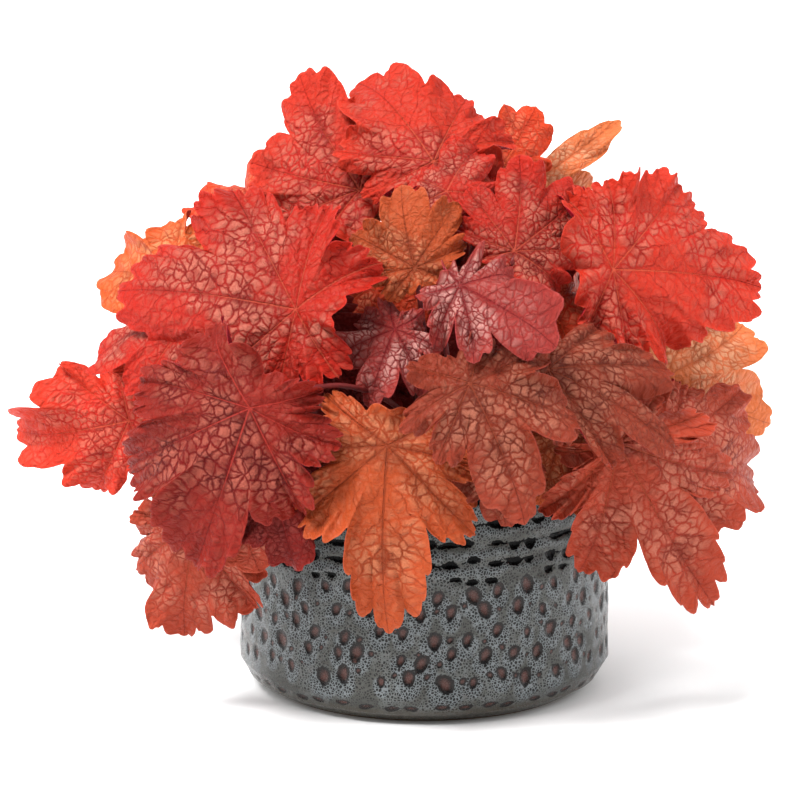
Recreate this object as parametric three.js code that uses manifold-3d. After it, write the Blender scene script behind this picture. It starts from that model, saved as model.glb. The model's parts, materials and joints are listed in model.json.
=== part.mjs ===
// A heuchera (coral bells) in full leaf, standing in its glazed stoneware pot.
// Millimetres, +Z up, the origin at the centre of the pot's flat foot, the front of the plant at -Y.
// Pieces: the pot, the potting soil that fills it, the plant's crown set in the soil, and the leaves,
// each leaf being one blade with its own stalk, the stalk's foot standing in a hole of the crown.

import * as THREE from "three";
import ManifoldModule from "manifold-3d";

const wasm = await ManifoldModule();
wasm.setup();

const DEG = Math.PI / 180;

// ---- pot ----
const POT_RADIUS = 90;
const POT_HEIGHT = 116;
const FOOT_RADIUS = 75;
const BEVEL_HEIGHT = 14;
const WALL = 6;
const FLOOR = 8;
const POT_SIDES = 44;
const DENT_DEPTH = 1.3;
const DENT_ROWS = [22, 33, 44, 55, 66, 77];
const RING_DEPTH = 0.8;

// ---- soil and crown ----
const CLEARANCE = 0.35;
const SOIL_TOP = 105;
const SOIL_BUMP = 1.6;
const CROWN_HEIGHT = 105;
const CROWN_RADIUS = 25;
const CROWN_KNOBS = 1.2;
const SOCKET_DEPTH = 5;

// ---- leaves ----
const BLADE_THICKNESS = 0.8;
const TOOTH = 0.1;
const STALK_FOOT_RADIUS = 1.6;
const STALK_TOP_RADIUS = 1.2;
const STALK_SIDES = 4;
const STALK_NECK = 8;
const BLADE_GAP = 0.9;
const STALK_GAP = 0.5;
const BOWS = [0, 12, -12, 24, -24, 38, -38, 54, -54];
const FOOT_SPREAD = 15;
const FOOT_LOWEST = 16;
// leaves of the front are laid one over the other towards this far point
const STACK_POINT = new THREE.Vector3(-11.7, -1569.5, 449.4);

// One row a leaf, the deepest first:
// place of the stalk's end (x y z), facing (azimuth from the front, elevation), turn of the tip
// (clockwise from straight up), length, width share, spread of the lobes, fold across, droop along, wave.
const FRONT_LEAVES = [
  ["orange", 48.9, 25, 237.5, 30, 35, 63, 66, 0.62, 135, 20, -10, 0.06],
  ["orange", 37.6, 5, 252.2, 20, 20, 40, 35, 0.95, 165, 30, 10, 0.07],
  ["orange", -75, 0, 230.2, -30, 42, -78, 56, 0.95, 165, 30, 20, 0.06],
  ["orange", -115, -25, 199, -38, 18, -84, 62, 0.95, 165, 15, 20, 0.07],
  ["red", -141, -20, 132.5, -20, -5, -106, 75, 0.8, 165, 15, 10, 0.07],
  ["orange", 114, -25, 155, 30, 10, 116, 76, 0.9, 160, 20, 20, 0.07],
  ["red", -30.7, -10, 242.1, -15, 25, -38, 64, 1, 175, 8, 10, 0.06],
  ["rose", 4, -30, 258, -5, 40, -31, 60, 0.95, 175, 20, 10, 0.06],
  ["rose", 10, -45, 246, 0, 50, 20, 36, 0.9, 165, 30, 0, 0.08],
  ["crimson", -34, -52, 168, -8, 18, 185, 46, 0.9, 165, 25, 15, 0.07],
  ["orange", -35, -15, 226, -10, 25, -10, 30, 0.95, 165, 20, 10, 0.07],
  ["russet", -13, -50, 211, 0, 15, 184, 46, 1, 175, 25, 10, 0.07],
  ["crimson", 23, -48, 184, 8, 18, 172, 46, 0.9, 165, 25, 15, 0.07],
  ["red", 113, -70, 128.9, 35, 15, 110, 66, 0.95, 165, 25, 20, 0.07],
  ["russet", -31, -70, 170, 0, 10, 190, 38, 0.95, 165, 25, 10, 0.07],
  ["rose", -54, -78, 192, -5, 20, 146, 40, 0.95, 165, 30, 10, 0.09],
  ["russet", 54.6, -75, 200.1, 10, 20, 150, 36, 0.9, 165, 30, 10, 0.08],
  ["crimson", -64.3, -90, 123.8, -10, 0, 175, 32, 0.9, 165, 30, 10, 0.08],
  ["crimson", 61.1, -95, 138.8, 10, 20, 150, 42, 0.9, 165, 30, 10, 0.08],
  ["orange", 6.4, -105, 127.1, 0, 0, 180, 34, 0.9, 165, 20, 10, 0.07],
  ["rose", 33.6, -105, 129.4, 0, 0, 170, 34, 0.9, 165, 20, 10, 0.07],
  ["orange", -106, -95, 99.1, -25, -5, 193, 58, 0.95, 165, 20, 10, 0.07],
  ["russet", -85.5, -100, 114, -10, 0, 170, 38, 0.9, 165, 25, 10, 0.07],
  ["red", -67, -104, 110, -5, 0, 165, 34, 0.95, 165, 25, 10, 0.08],
  ["red", 87.5, -98, 137.9, 15, 0, 150, 86, 0.9, 150, 20, 10, 0.06],
  ["russet", 54.6, -108, 174, 15, 28, 116, 68, 0.8, 165, 30, 20, 0.07],
  ["russet", -108, -62, 188, -35, 45, -100, 58, 0.9, 165, 40, 25, 0.08],
  ["red", -79.1, -112, 157.1, -20, 5, 199, 81, 0.95, 165, 20, 15, 0.06],
  ["orange", -17.1, -122, 142, 0, 10, 184, 80, 1, 140, 15, 5, 0.05],
  ["orange", 19.3, -124, 170.7, 5, 25, 155, 64, 0.95, 160, 20, 10, 0.06],
  ["russet", 40.8, -66, 221.2, 5, 25, 10, 48, 0.95, 165, 35, 10, 0.08],
  ["orange", -4.9, -80, 215.7, -5, 15, -16, 40, 0.95, 165, 20, 10, 0.06],
  ["crimson", -14, -96, 190, -5, 30, 200, 40, 0.95, 165, 25, 10, 0.12],
  ["red", 85.1, -80, 214.9, 25, 15, 94, 80, 0.95, 165, 20, 15, 0.06],
  ["red", -58.3, -104, 200.6, -22, 18, -84, 90, 0.95, 155, 20, 15, 0.05],
  ["rose", 15.3, -100, 210.6, 5, 40, 118, 50, 0.95, 165, 25, 10, 0.12],
];

// For a large leaf of the front, by its number: the angle between its lobes, then the reach of each.
const LOBES = {
  1: [48, 0.37, 0.5, 0.88, 1.08, 0.45, 0.5, 0.4],
  4: [48, 0.39, 0.55, 0.7, 1, 0.8, 0.6, 0.4],
  5: [47, 0.5, 0.74, 1.03, 0.72, 0.55],
  6: [38, 0.5, 0.65, 0.8, 1.05, 0.9, 0.78, 0.5],
  7: [36, 0.4, 0.55, 0.8, 1.1, 0.94, 0.88, 0.6],
  8: [44, 0.55, 0.76, 0.78, 1.17, 0.82, 0.65, 0.4],
  14: [38, 0.5, 0.65, 0.84, 1.28, 1, 0.65, 0.5],
  22: [41, 0.5, 0.6, 0.88, 1.06, 0.9, 0.7, 0.5],
  25: [36, 0.35, 0.6, 0.84, 1.15, 0.86, 0.6, 0.4],
  26: [32, 0.4, 0.6, 0.85, 1.08, 0.98, 0.7, 0.45],
  28: [42, 0.6, 0.82, 1.08, 1.05, 0.68, 0.56, 0.42],
  29: [42, 0.46, 0.6, 0.7, 1.05, 0.7, 0.6, 0.44],
  30: [46, 0.46, 0.6, 0.6, 1, 0.88, 0.72, 0.45],
  31: [38, 0.66, 0.82, 1.08, 0.95, 0.85, 0.65, 0.4],
  32: [42, 0.45, 0.7, 0.95, 1, 0.86, 0.6, 0.5],
  34: [39, 0.42, 0.6, 0.7, 1.06, 0.84, 0.58, 0.55],
  35: [44, 0.48, 0.62, 0.86, 1.16, 0.72, 0.62, 0.4],
  36: [48, 0.4, 0.6, 0.72, 0.98, 0.68, 0.44, 0.3],
};

// How deep the notches between the lobes are on leaves cut differently from the rest, by number.
const CUTS = { 1: 0.5, 5: 0.3, 7: 0.2, 8: 0.24, 14: 0.2, 22: 0.16, 25: 0.46, 29: 0.42, 30: 0.4, 34: 0.12 };

// Leaves round the sides, the back and the top, each on the mound round its middle:
// azimuth, elevation and reach of the stalk's end, facing elevation, turn, length, colour.
const MOUND = new THREE.Vector3(-8, 0, 130);
const BACK_LEAVES = [
  [112, 0, 112, 8, 172, 70, "orange"],
  [140, 2, 112, 10, 190, 76, "red"],
  [168, 0, 114, 8, 174, 72, "rose"],
  [196, 3, 112, 10, 188, 78, "russet"],
  [224, 0, 112, 8, 170, 70, "red"],
  [250, 2, 108, 10, 176, 66, "orange"],
  [66, 46, 92, 24, 62, 56, "orange"],
  [106, 34, 100, 42, 190, 60, "russet"],
  [133, 31, 104, 42, 172, 66, "rose"],
  [156, 34, 106, 46, 186, 58, "orange"],
  [184, 30, 108, 44, 160, 60, "red"],
  [213, 30, 106, 40, 190, 66, "crimson"],
  [242, 32, 104, 42, 170, 64, "red"],
  [274, 38, 96, 50, 190, 54, "rose"],
  [148, 54, 92, 66, 178, 48, "orange"],
  [180, 60, 98, 66, 172, 54, "russet"],
  [216, 54, 94, 62, 186, 54, "rose"],
  [180, 86, 104, 78, 180, 50, "red"],
];

const COLOURS = {
  pot: 0x59656e,
  soil: 0x35261c,
  crown: 0x5f3a28,
  red: 0xc4352c,
  orange: 0xdc6a3a,
  rose: 0xb9666a,
  russet: 0xa8492f,
  crimson: 0x7d1f2a,
};

// a repeatable draw between 0 and 1
function draw(index, seed) {
  const value = Math.sin(index * 127.1 + seed * 311.7) * 43758.5453;
  return value - Math.floor(value);
}

function solidOf(points, triangles) {
  return new wasm.Manifold(new wasm.Mesh({
    numProp: 3,
    vertProperties: new Float32Array(points.flatMap((p) => [p.x, p.y, p.z])),
    triVerts: new Uint32Array(triangles.flat()),
  }));
}

function meshOf(solid, name, colour) {
  const raw = solid.getMesh();
  const geometry = new THREE.BufferGeometry();
  geometry.setAttribute("position", new THREE.Float32BufferAttribute(raw.vertProperties, 3));
  geometry.setIndex([...raw.triVerts]);
  geometry.computeVertexNormals();
  const material = new THREE.MeshStandardMaterial({ color: colour, roughness: 0.6 });
  const mesh = new THREE.Mesh(geometry, material);
  mesh.name = name;
  return mesh;
}

// a closed body from rows of equal rings, the first and last closed to a middle point
function turned(rings, sides, firstMiddle, lastMiddle) {
  const points = [firstMiddle, ...rings.flat(), lastMiddle];
  const last = points.length - 1;
  const at = (row, i) => 1 + row * sides + (i % sides);
  const triangles = [];
  for (let i = 0; i < sides; i += 1) {
    triangles.push([0, at(0, i + 1), at(0, i)]);
    triangles.push([last, at(rings.length - 1, i), at(rings.length - 1, i + 1)]);
    for (let row = 0; row + 1 < rings.length; row += 1) {
      const a = at(row, i);
      const b = at(row, i + 1);
      const c = at(row + 1, i);
      const d = at(row + 1, i + 1);
      if ((row + i) % 2 === 0) {
        triangles.push([a, b, d], [a, d, c]);
      } else {
        triangles.push([a, b, c], [b, d, c]);
      }
    }
  }
  return solidOf(points, triangles);
}

function ring(radius, height, sides, change) {
  const points = [];
  for (let i = 0; i < sides; i += 1) {
    const angle = (i / sides) * 2 * Math.PI;
    const r = radius + (change ? change(i) : 0);
    points.push(new THREE.Vector3(r * Math.cos(angle), r * Math.sin(angle), height));
  }
  return points;
}

// ---- the pot: hammered dents up the side, throwing rings under the lip, flat foot ----
function buildPot() {
  const rings = [
    ring(FOOT_RADIUS, 0, POT_SIDES),
    ring(FOOT_RADIUS + (POT_RADIUS - FOOT_RADIUS) * 0.7, BEVEL_HEIGHT * 0.42, POT_SIDES),
    ring(POT_RADIUS, BEVEL_HEIGHT, POT_SIDES),
  ];
  DENT_ROWS.forEach((height, row) => {
    const dent = (i) => ((i + row) % 2 === 0 ? -DENT_DEPTH : 0);
    rings.push(ring(POT_RADIUS, height, POT_SIDES, dent));
  });
  [85, 90, 95, 100, 105, 109].forEach((height, row) => {
    rings.push(ring(POT_RADIUS - (row % 2 === 1 ? RING_DEPTH : 0), height, POT_SIDES));
  });
  rings.push(ring(POT_RADIUS - 0.6, POT_HEIGHT - 2, POT_SIDES));
  rings.push(ring(POT_RADIUS - 3, POT_HEIGHT, POT_SIDES));
  rings.push(ring(POT_RADIUS - WALL, POT_HEIGHT - 2.4, POT_SIDES));
  rings.push(ring(POT_RADIUS - WALL, FLOOR, POT_SIDES));
  return turned(rings, POT_SIDES, new THREE.Vector3(0, 0, 0), new THREE.Vector3(0, 0, FLOOR));
}

// ---- the soil: fills the pot to just under the lip, its top gently lumpy ----
function buildSoil() {
  const radius = POT_RADIUS - WALL - CLEARANCE;
  const rough = (ringNumber, height) => {
    const points = ring(radius * (1 - ringNumber / 3), height, POT_SIDES / 2);
    points.forEach((point, i) => {
      point.z += SOIL_BUMP * (draw(i + 50 * ringNumber, 3) - 0.5) * 2;
    });
    return points;
  };
  const rings = [
    ring(radius, FLOOR + CLEARANCE, POT_SIDES / 2),
    ring(radius, SOIL_TOP, POT_SIDES / 2),
    rough(1, SOIL_TOP + 0.5),
    rough(2, SOIL_TOP + 1),
  ];
  const under = new THREE.Vector3(0, 0, FLOOR + CLEARANCE);
  const over = new THREE.Vector3(0, 0, SOIL_TOP + 1);
  return turned(rings, POT_SIDES / 2, under, over);
}

// ---- the crown: the knobby woody top of the plant, from which every stalk comes ----
function buildCrown(extra) {
  const sides = 9;
  const rings = [];
  [-50, -12, 20, 52].forEach((elevation, row) => {
    const points = [];
    for (let i = 0; i < sides; i += 1) {
      const angle = ((i + (row % 2) / 2) / sides) * 2 * Math.PI;
      const knob = CROWN_KNOBS * (draw(i + row * sides, 9) - 0.5) * 2;
      const r = CROWN_RADIUS + extra + knob;
      const flat = r * Math.cos(elevation * DEG);
      const height = CROWN_HEIGHT + r * Math.sin(elevation * DEG);
      points.push(new THREE.Vector3(flat * Math.cos(angle), flat * Math.sin(angle), height));
    }
    rings.push(points);
  });
  const under = new THREE.Vector3(0, 0, CROWN_HEIGHT - CROWN_RADIUS * 0.9 - extra);
  const over = new THREE.Vector3(0, 0, CROWN_HEIGHT + CROWN_RADIUS + extra);
  return turned(rings, sides, under, over);
}

// ---- leaves ----
function leafFrom(colour, place, azimuth, elevation, turn, length, form, seed) {
  const [width, spread, fold, droop, wave] = form;
  const own = LOBES[seed];
  const facing = new THREE.Vector3(
    Math.sin(azimuth * DEG) * Math.cos(elevation * DEG),
    -Math.cos(azimuth * DEG) * Math.cos(elevation * DEG),
    Math.sin(elevation * DEG),
  );
  const up = new THREE.Vector3(0, 0, 1).addScaledVector(facing, -facing.z).normalize();
  const right = new THREE.Vector3().crossVectors(up, facing);
  const tip = up.clone().multiplyScalar(Math.cos(turn * DEG));
  tip.addScaledVector(right, Math.sin(turn * DEG)).normalize();
  const side = new THREE.Vector3().crossVectors(facing, tip);
  const leaf = { colour, place, facing, tip, side, length, width, spread, fold, droop, wave, seed };
  leaf.lobes = own ? own.length - 1 : length >= 40 ? 7 : 5;
  leaf.step = own ? own[0] : leaf.lobes === 7 ? 48 : 66;
  leaf.reaches = own ? own.slice(1) : usualReaches(leaf);
  leaf.cut = CUTS[seed] ?? 0.24 + 0.1 * draw(1, seed);
  leaf.taper = 3.6 - 4 * leaf.cut;
  leaf.teeth = length >= 80 ? 5 : length >= 56 ? 3 : 2;
  leaf.rows = length >= 80 ? [0.36, 0.7] : [0.52];
  return leaf;
}

// how far each lobe reaches on a leaf that has no reaches of its own
function usualReaches(leaf) {
  const reaches = [];
  for (let i = 0; i < leaf.lobes; i += 1) {
    const bearing = (i - (leaf.lobes - 1) / 2) * leaf.step;
    const swell = 1 + 0.26 * (draw(i + 7, leaf.seed) - 0.5);
    reaches.push(swell * Math.exp(-Math.pow(Math.abs(bearing) / leaf.spread, 1.35)));
  }
  return reaches;
}

// where the bearing falls inside its lobe: 0 on the vein, 1 in the cut between two lobes
function lobeShare(bearing, leaf) {
  const half = (leaf.lobes - 1) / 2;
  const lobe = Math.max(-half, Math.min(half, Math.round(bearing / leaf.step)));
  return [lobe, Math.min(1, Math.abs(bearing - lobe * leaf.step) / (leaf.step / 2))];
}

// how far the margin reaches at a bearing, as a share of the leaf's length
function reach(bearing, leaf) {
  const [lobe, share] = lobeShare(bearing, leaf);
  const place = lobe + (leaf.lobes - 1) / 2;
  const own = leaf.reaches[place];
  const beyond = leaf.reaches[place + (bearing > lobe * leaf.step ? 1 : -1)] ?? own * 0.8;
  const envelope = own + ((own + beyond) / 2 - own) * share * share;
  const cut = 1 - leaf.cut * Math.pow(share, leaf.taper);
  const tooth = 1 - TOOTH * (1 - Math.abs(Math.cos((leaf.teeth / 2) * Math.PI * share)));
  return envelope * cut * tooth;
}

function bend(along, off, turnPerMm) {
  if (Math.abs(turnPerMm) < 1e-7) {
    return [along, off];
  }
  const phi = turnPerMm * along;
  return [
    Math.sin(phi) / turnPerMm + off * Math.sin(phi),
    -(1 - Math.cos(phi)) / turnPerMm + off * Math.cos(phi),
  ];
}

// a point of the blade's middle surface: bearing from the tip, share of the way to the margin
function bladePoint(bearing, share, leaf) {
  const size = leaf.length;
  const swing = 5 * Math.sin(bearing * 2.3 * DEG + leaf.seed * 6.28);
  const curl = 5 * share * share * Math.sin(bearing * 1.9 * DEG + leaf.seed * 3.3);
  const angle = (bearing + swing + curl) * DEG;
  const radius = share * reach(bearing, leaf) * size;
  const flatX = radius * Math.cos(angle);
  const flatY = radius * Math.sin(angle) * leaf.width;
  const inLobe = lobeShare(bearing, leaf)[1];
  const sunk = 0.03 * share + 0.035 * Math.pow(share, 3);
  const pleat = -sunk * (1 + Math.cos(Math.PI * inLobe)) / 2;
  const scallop = -0.018 * Math.pow(share, 4) * Math.cos(leaf.teeth * Math.PI * inLobe);
  const first = Math.sin(bearing * 5 * DEG + leaf.seed * 2.1);
  const second = Math.sin(bearing * 9 * DEG + leaf.seed * 4.7);
  const ruffle = leaf.wave * Math.pow(share, 3) * (first + 0.7 * second);
  const relief = size * (pleat + scallop + ruffle);
  const [y, lift] = bend(flatY, relief, (leaf.fold * DEG) / (0.8 * size));
  const [x, z] = bend(flatX, lift, (leaf.droop * DEG) / size);
  const point = leaf.place.clone().addScaledVector(leaf.tip, x);
  return point.addScaledVector(leaf.side, y).addScaledVector(leaf.facing, z);
}

// the blade, both faces carrying the same triangles; with a stalk's path, the stalk grows out of it
function buildLeaf(leaf, path) {
  const halves = leaf.lobes * 2;
  const edge = (leaf.lobes * leaf.step) / 2;
  const middle = [bladePoint(0, 0, leaf)];
  const rows = leaf.rows.map((share) => {
    const row = [];
    for (let j = 0; j <= halves; j += 1) {
      row.push(middle.length);
      middle.push(bladePoint(-edge + (j * leaf.step) / 2, share, leaf));
    }
    return row;
  });
  const margin = [];
  for (let j = 0; j <= halves * leaf.teeth; j += 1) {
    margin.push(middle.length);
    middle.push(bladePoint(-edge + (j * leaf.step) / 2 / leaf.teeth, 1, leaf));
  }
  const heel = middle.length;
  middle.push(leaf.place.clone().addScaledVector(leaf.tip, -Math.max(5, 0.09 * leaf.length)));
  const fan = [];
  for (let j = 0; j < halves; j += 1) {
    fan.push([0, rows[0][j], rows[0][j + 1]]);
  }
  fan.push([0, rows[0][halves], heel], [0, heel, rows[0][0]]);
  const face = [];
  for (let j = 0; j < halves; j += 1) {
    for (let k = 0; k + 1 < rows.length; k += 1) {
      const low = rows[k];
      const high = rows[k + 1];
      if (j % 2 === 0) {
        face.push([low[j], high[j], high[j + 1]], [low[j], high[j + 1], low[j + 1]]);
      } else {
        face.push([low[j], high[j], low[j + 1]], [low[j + 1], high[j], high[j + 1]]);
      }
    }
    const top = rows[rows.length - 1];
    const turnAt = Math.ceil(leaf.teeth / 2) - (j % 2 === 0 ? 1 : 0);
    for (let k = 0; k < leaf.teeth; k += 1) {
      const outer = margin[j * leaf.teeth + k];
      const next = margin[j * leaf.teeth + k + 1];
      face.push([k < turnAt ? top[j] : top[j + 1], outer, next]);
      if (k === turnAt) {
        face.push([top[j], outer, top[j + 1]]);
      }
    }
  }
  const loop = [...margin];
  for (let k = rows.length - 1; k >= 0; k -= 1) {
    loop.push(rows[k][halves]);
  }
  loop.push(heel);
  for (let k = 0; k < rows.length; k += 1) {
    loop.push(rows[k][0]);
  }
  const normals = middle.map(() => new THREE.Vector3());
  [...fan, ...face].forEach(([a, b, c]) => {
    const ab = middle[b].clone().sub(middle[a]);
    const ac = middle[c].clone().sub(middle[a]);
    const cross = ab.cross(ac);
    [a, b, c].forEach((i) => normals[i].add(cross));
  });
  normals.forEach((n) => n.normalize());
  const half = BLADE_THICKNESS / 2;
  const upper = middle.map((p, i) => p.clone().addScaledVector(normals[i], half));
  const lower = middle.map((p, i) => p.clone().addScaledVector(normals[i], -half));
  const count = middle.length;
  const triangles = [];
  [...fan, ...face].forEach(([a, b, c]) => triangles.push([a, b, c]));
  face.forEach(([a, b, c]) => triangles.push([a + count, c + count, b + count]));
  loop.forEach((a, i) => {
    const b = loop[(i + 1) % loop.length];
    triangles.push([a, a + count, b + count], [a, b + count, b]);
  });
  if (!path) {
    fan.forEach(([a, b, c]) => triangles.push([a + count, c + count, b + count]));
    return solidOf([...upper, ...lower], triangles);
  }
  // the stalk: rings of points, the last one drawn out onto the blade's lower face
  const stalk = tubePoints(path, STALK_FOOT_RADIUS, STALK_TOP_RADIUS);
  const ending = stalk.slice(-STALK_SIDES);
  const normal = normals[0];
  const base = lower[0];
  ending.forEach((p) => {
    const off = base.clone().sub(p).dot(normal) / leaf.arrive.dot(normal);
    p.addScaledVector(leaf.arrive, off);
  });
  const first = 2 * count;
  tubeTriangles(path.length, first, triangles);
  for (let k = 1; k + 1 < STALK_SIDES; k += 1) {
    triangles.push([first, first + k + 1, first + k]);
  }
  const bearingOf = (p) => Math.atan2(p.clone().sub(base).dot(leaf.side), p.clone().sub(base).dot(leaf.tip));
  const outer = [...rows[0], heel].map((i) => ({ at: i + count, bearing: bearingOf(lower[i]) }));
  const inner = ending.map((p, k) => ({
    at: first + (path.length - 1) * STALK_SIDES + k,
    bearing: bearingOf(p),
  }));
  const order = (a, b) => a.bearing - b.bearing;
  outer.sort(order);
  inner.sort(order);
  let i = 0;
  let j = 0;
  while (i < inner.length || j < outer.length) {
    const here = inner[i % inner.length];
    const there = outer[j % outer.length];
    const nextIn = inner[(i + 1) % inner.length];
    const nextOut = outer[(j + 1) % outer.length];
    const inBearing = nextIn.bearing + (i + 1 >= inner.length ? 2 * Math.PI : 0);
    const outBearing = nextOut.bearing + (j + 1 >= outer.length ? 2 * Math.PI : 0);
    if (j >= outer.length || (i < inner.length && inBearing < outBearing)) {
      triangles.push([here.at, nextIn.at, there.at]);
      i += 1;
    } else {
      triangles.push([here.at, nextOut.at, there.at]);
      j += 1;
    }
  }
  return solidOf([...upper, ...lower, ...stalk], triangles);
}

// rings of points along a path, the radius running evenly from the first to the last
function tubePoints(path, firstRadius, lastRadius) {
  const points = [];
  let across = null;
  path.forEach((point, i) => {
    const before = path[Math.max(0, i - 1)];
    const after = path[Math.min(path.length - 1, i + 1)];
    const along = after.clone().sub(before).normalize();
    if (!across) {
      across = new THREE.Vector3(0.3, 0.5, 0.8).cross(along).normalize();
    }
    across.addScaledVector(along, -across.dot(along)).normalize();
    const other = new THREE.Vector3().crossVectors(along, across);
    const radius = firstRadius + ((lastRadius - firstRadius) * i) / (path.length - 1);
    for (let k = 0; k < STALK_SIDES; k += 1) {
      const angle = (k / STALK_SIDES) * 2 * Math.PI;
      const corner = point.clone().addScaledVector(across, radius * Math.cos(angle));
      points.push(corner.addScaledVector(other, radius * Math.sin(angle)));
    }
  });
  return points;
}

function tubeTriangles(ringCount, first, triangles) {
  for (let i = 0; i + 1 < ringCount; i += 1) {
    for (let k = 0; k < STALK_SIDES; k += 1) {
      const a = first + i * STALK_SIDES + k;
      const b = first + i * STALK_SIDES + ((k + 1) % STALK_SIDES);
      triangles.push([a, b, b + STALK_SIDES], [a, b + STALK_SIDES, a + STALK_SIDES]);
    }
  }
}

function buildTube(path, firstRadius, lastRadius) {
  const triangles = [];
  tubeTriangles(path.length, 0, triangles);
  const last = (path.length - 1) * STALK_SIDES;
  for (let k = 1; k + 1 < STALK_SIDES; k += 1) {
    triangles.push([0, k + 1, k], [last, last + k, last + k + 1]);
  }
  return solidOf(tubePoints(path, firstRadius, lastRadius), triangles);
}

function boxesNear(a, b, margin) {
  const one = a.boundingBox();
  const two = b.boundingBox();
  return [0, 1, 2].every((i) => one.min[i] - margin < two.max[i] && two.min[i] - margin < one.max[i]);
}

function clears(solid, others, gap) {
  return others.every((other) => !boxesNear(solid, other, gap) || solid.minGap(other, gap) >= gap);
}

// the stalk's last stretch, straight into the back of the blade
function arrival(leaf) {
  const out = leaf.place.clone().sub(new THREE.Vector3(0, 0, CROWN_HEIGHT)).normalize();
  const way = out.multiplyScalar(0.6).addScaledVector(leaf.tip, 0.5);
  const lean = way.dot(leaf.facing);
  way.addScaledVector(leaf.facing, Math.max(0, 0.5 - lean));
  return way.normalize();
}

// lay a leaf over those already there: out along its way until nothing touches
function settle(leaf, way, fixed) {
  let blade = null;
  let step = 0;
  for (;;) {
    blade = buildLeaf(leaf, null);
    leaf.arrive = arrival(leaf);
    const back = leaf.place.clone().addScaledVector(leaf.arrive, -STALK_NECK);
    const stub = buildTube([back, leaf.place.clone()], STALK_TOP_RADIUS, STALK_TOP_RADIUS);
    const both = blade.add(stub);
    if (clears(both, fixed, BLADE_GAP) || step > 60) {
      break;
    }
    leaf.place.addScaledVector(way, 1.5);
    step += 1;
  }
  leaf.blade = blade;
}

function layLeaves(fixed) {
  const leaves = [];
  FRONT_LEAVES.forEach((row, i) => {
    const place = new THREE.Vector3(row[1], row[2], row[3]);
    const leaf = leafFrom(row[0], place, row[4], row[5], row[6], row[7], row.slice(8), i + 1);
    const way = STACK_POINT.clone().sub(place).normalize();
    settle(leaf, way, [...fixed, ...leaves.map((other) => other.blade)]);
    leaves.push(leaf);
  });
  BACK_LEAVES.forEach(([azimuth, rise, far, tilt, turn, length, colour], i) => {
    const seed = 41 + i;
    const out = new THREE.Vector3(
      Math.sin(azimuth * DEG) * Math.cos(rise * DEG),
      -Math.cos(azimuth * DEG) * Math.cos(rise * DEG),
      Math.sin(rise * DEG),
    );
    const place = MOUND.clone().addScaledVector(out, far);
    const form = [0.95, 160, 15 + 15 * draw(6, seed), 15 + 10 * draw(7, seed), 0.065];
    const leaf = leafFrom(colour, place, azimuth, tilt, turn, length, form, seed);
    settle(leaf, leaf.facing, [...fixed, ...leaves.map((other) => other.blade)]);
    leaves.push(leaf);
  });
  return leaves;
}

// the direction in which each stalk leaves the crown, spread so that the feet stand apart
function spreadFeet(leaves) {
  const middle = new THREE.Vector3(0, 0, CROWN_HEIGHT);
  const ways = leaves.map((leaf) => {
    const way = leaf.place.clone().sub(middle);
    way.z += 12;
    return way.normalize();
  });
  for (let round = 0; round < 400; round += 1) {
    for (let i = 0; i < ways.length; i += 1) {
      for (let j = i + 1; j < ways.length; j += 1) {
        const between = ways[i].angleTo(ways[j]) / DEG;
        if (between < FOOT_SPREAD) {
          const push = ways[i].clone().sub(ways[j]).normalize();
          const amount = (FOOT_SPREAD - between) * DEG * 0.25;
          ways[i].addScaledVector(push, amount).normalize();
          ways[j].addScaledVector(push, -amount).normalize();
        }
      }
      const lowest = Math.sin(FOOT_LOWEST * DEG);
      if (ways[i].z < lowest) {
        ways[i].z = lowest + 0.01;
        ways[i].normalize();
      }
    }
  }
  leaves.forEach((leaf, i) => {
    leaf.leave = ways[i];
  });
}

function stalkPath(leaf, rise, back, sway, lean) {
  const middle = new THREE.Vector3(0, 0, CROWN_HEIGHT);
  const foot = middle.clone().addScaledVector(leaf.leave, CROWN_RADIUS - SOCKET_DEPTH);
  const out = middle.clone().addScaledVector(leaf.leave, CROWN_RADIUS + 3);
  const span = leaf.place.distanceTo(out);
  const chord = leaf.place.clone().sub(out).normalize();
  const sideways = new THREE.Vector3(0, 0, 1).cross(chord).normalize();
  const upward = new THREE.Vector3().crossVectors(chord, sideways);
  const one = out.clone().addScaledVector(leaf.leave, rise * span);
  one.addScaledVector(sideways, sway).addScaledVector(upward, lean);
  const two = leaf.place.clone().addScaledVector(leaf.arrive, -STALK_NECK - back * span);
  two.addScaledVector(sideways, sway * 0.6).addScaledVector(upward, lean * 0.6);
  const neck = leaf.place.clone().addScaledVector(leaf.arrive, -STALK_NECK);
  const curve = new THREE.CubicBezierCurve3(out, one, two, neck);
  const count = Math.max(3, Math.round(span / 32));
  return [foot, ...curve.getSpacedPoints(count), leaf.place.clone()];
}

function routeStalk(leaf, blades, stalks) {
  const straight = leaf.arrive.clone();
  for (const swing of [0, 40, -40, 80, -80]) {
    leaf.arrive = straight.clone().applyAxisAngle(leaf.facing, swing * DEG);
    for (const lean of BOWS) {
      for (const sway of BOWS) {
        for (const rise of [0.4, 0.25, 0.6]) {
          for (const back of [0.3, 0.18, 0.45]) {
            const path = stalkPath(leaf, rise, back, sway, lean);
            const stalk = buildTube(path, STALK_FOOT_RADIUS, STALK_TOP_RADIUS);
            const free = buildTube(path.slice(0, -1), STALK_FOOT_RADIUS, STALK_TOP_RADIUS);
            const others = [...blades, ...stalks];
            if (clears(free, [leaf.blade], STALK_GAP) && clears(stalk, others, STALK_GAP)) {
              leaf.path = path;
              return stalk;
            }
          }
        }
      }
    }
  }
  throw new Error(`no way for the stalk of ${leaf.colour} ${leaf.seed}`);
}

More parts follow.
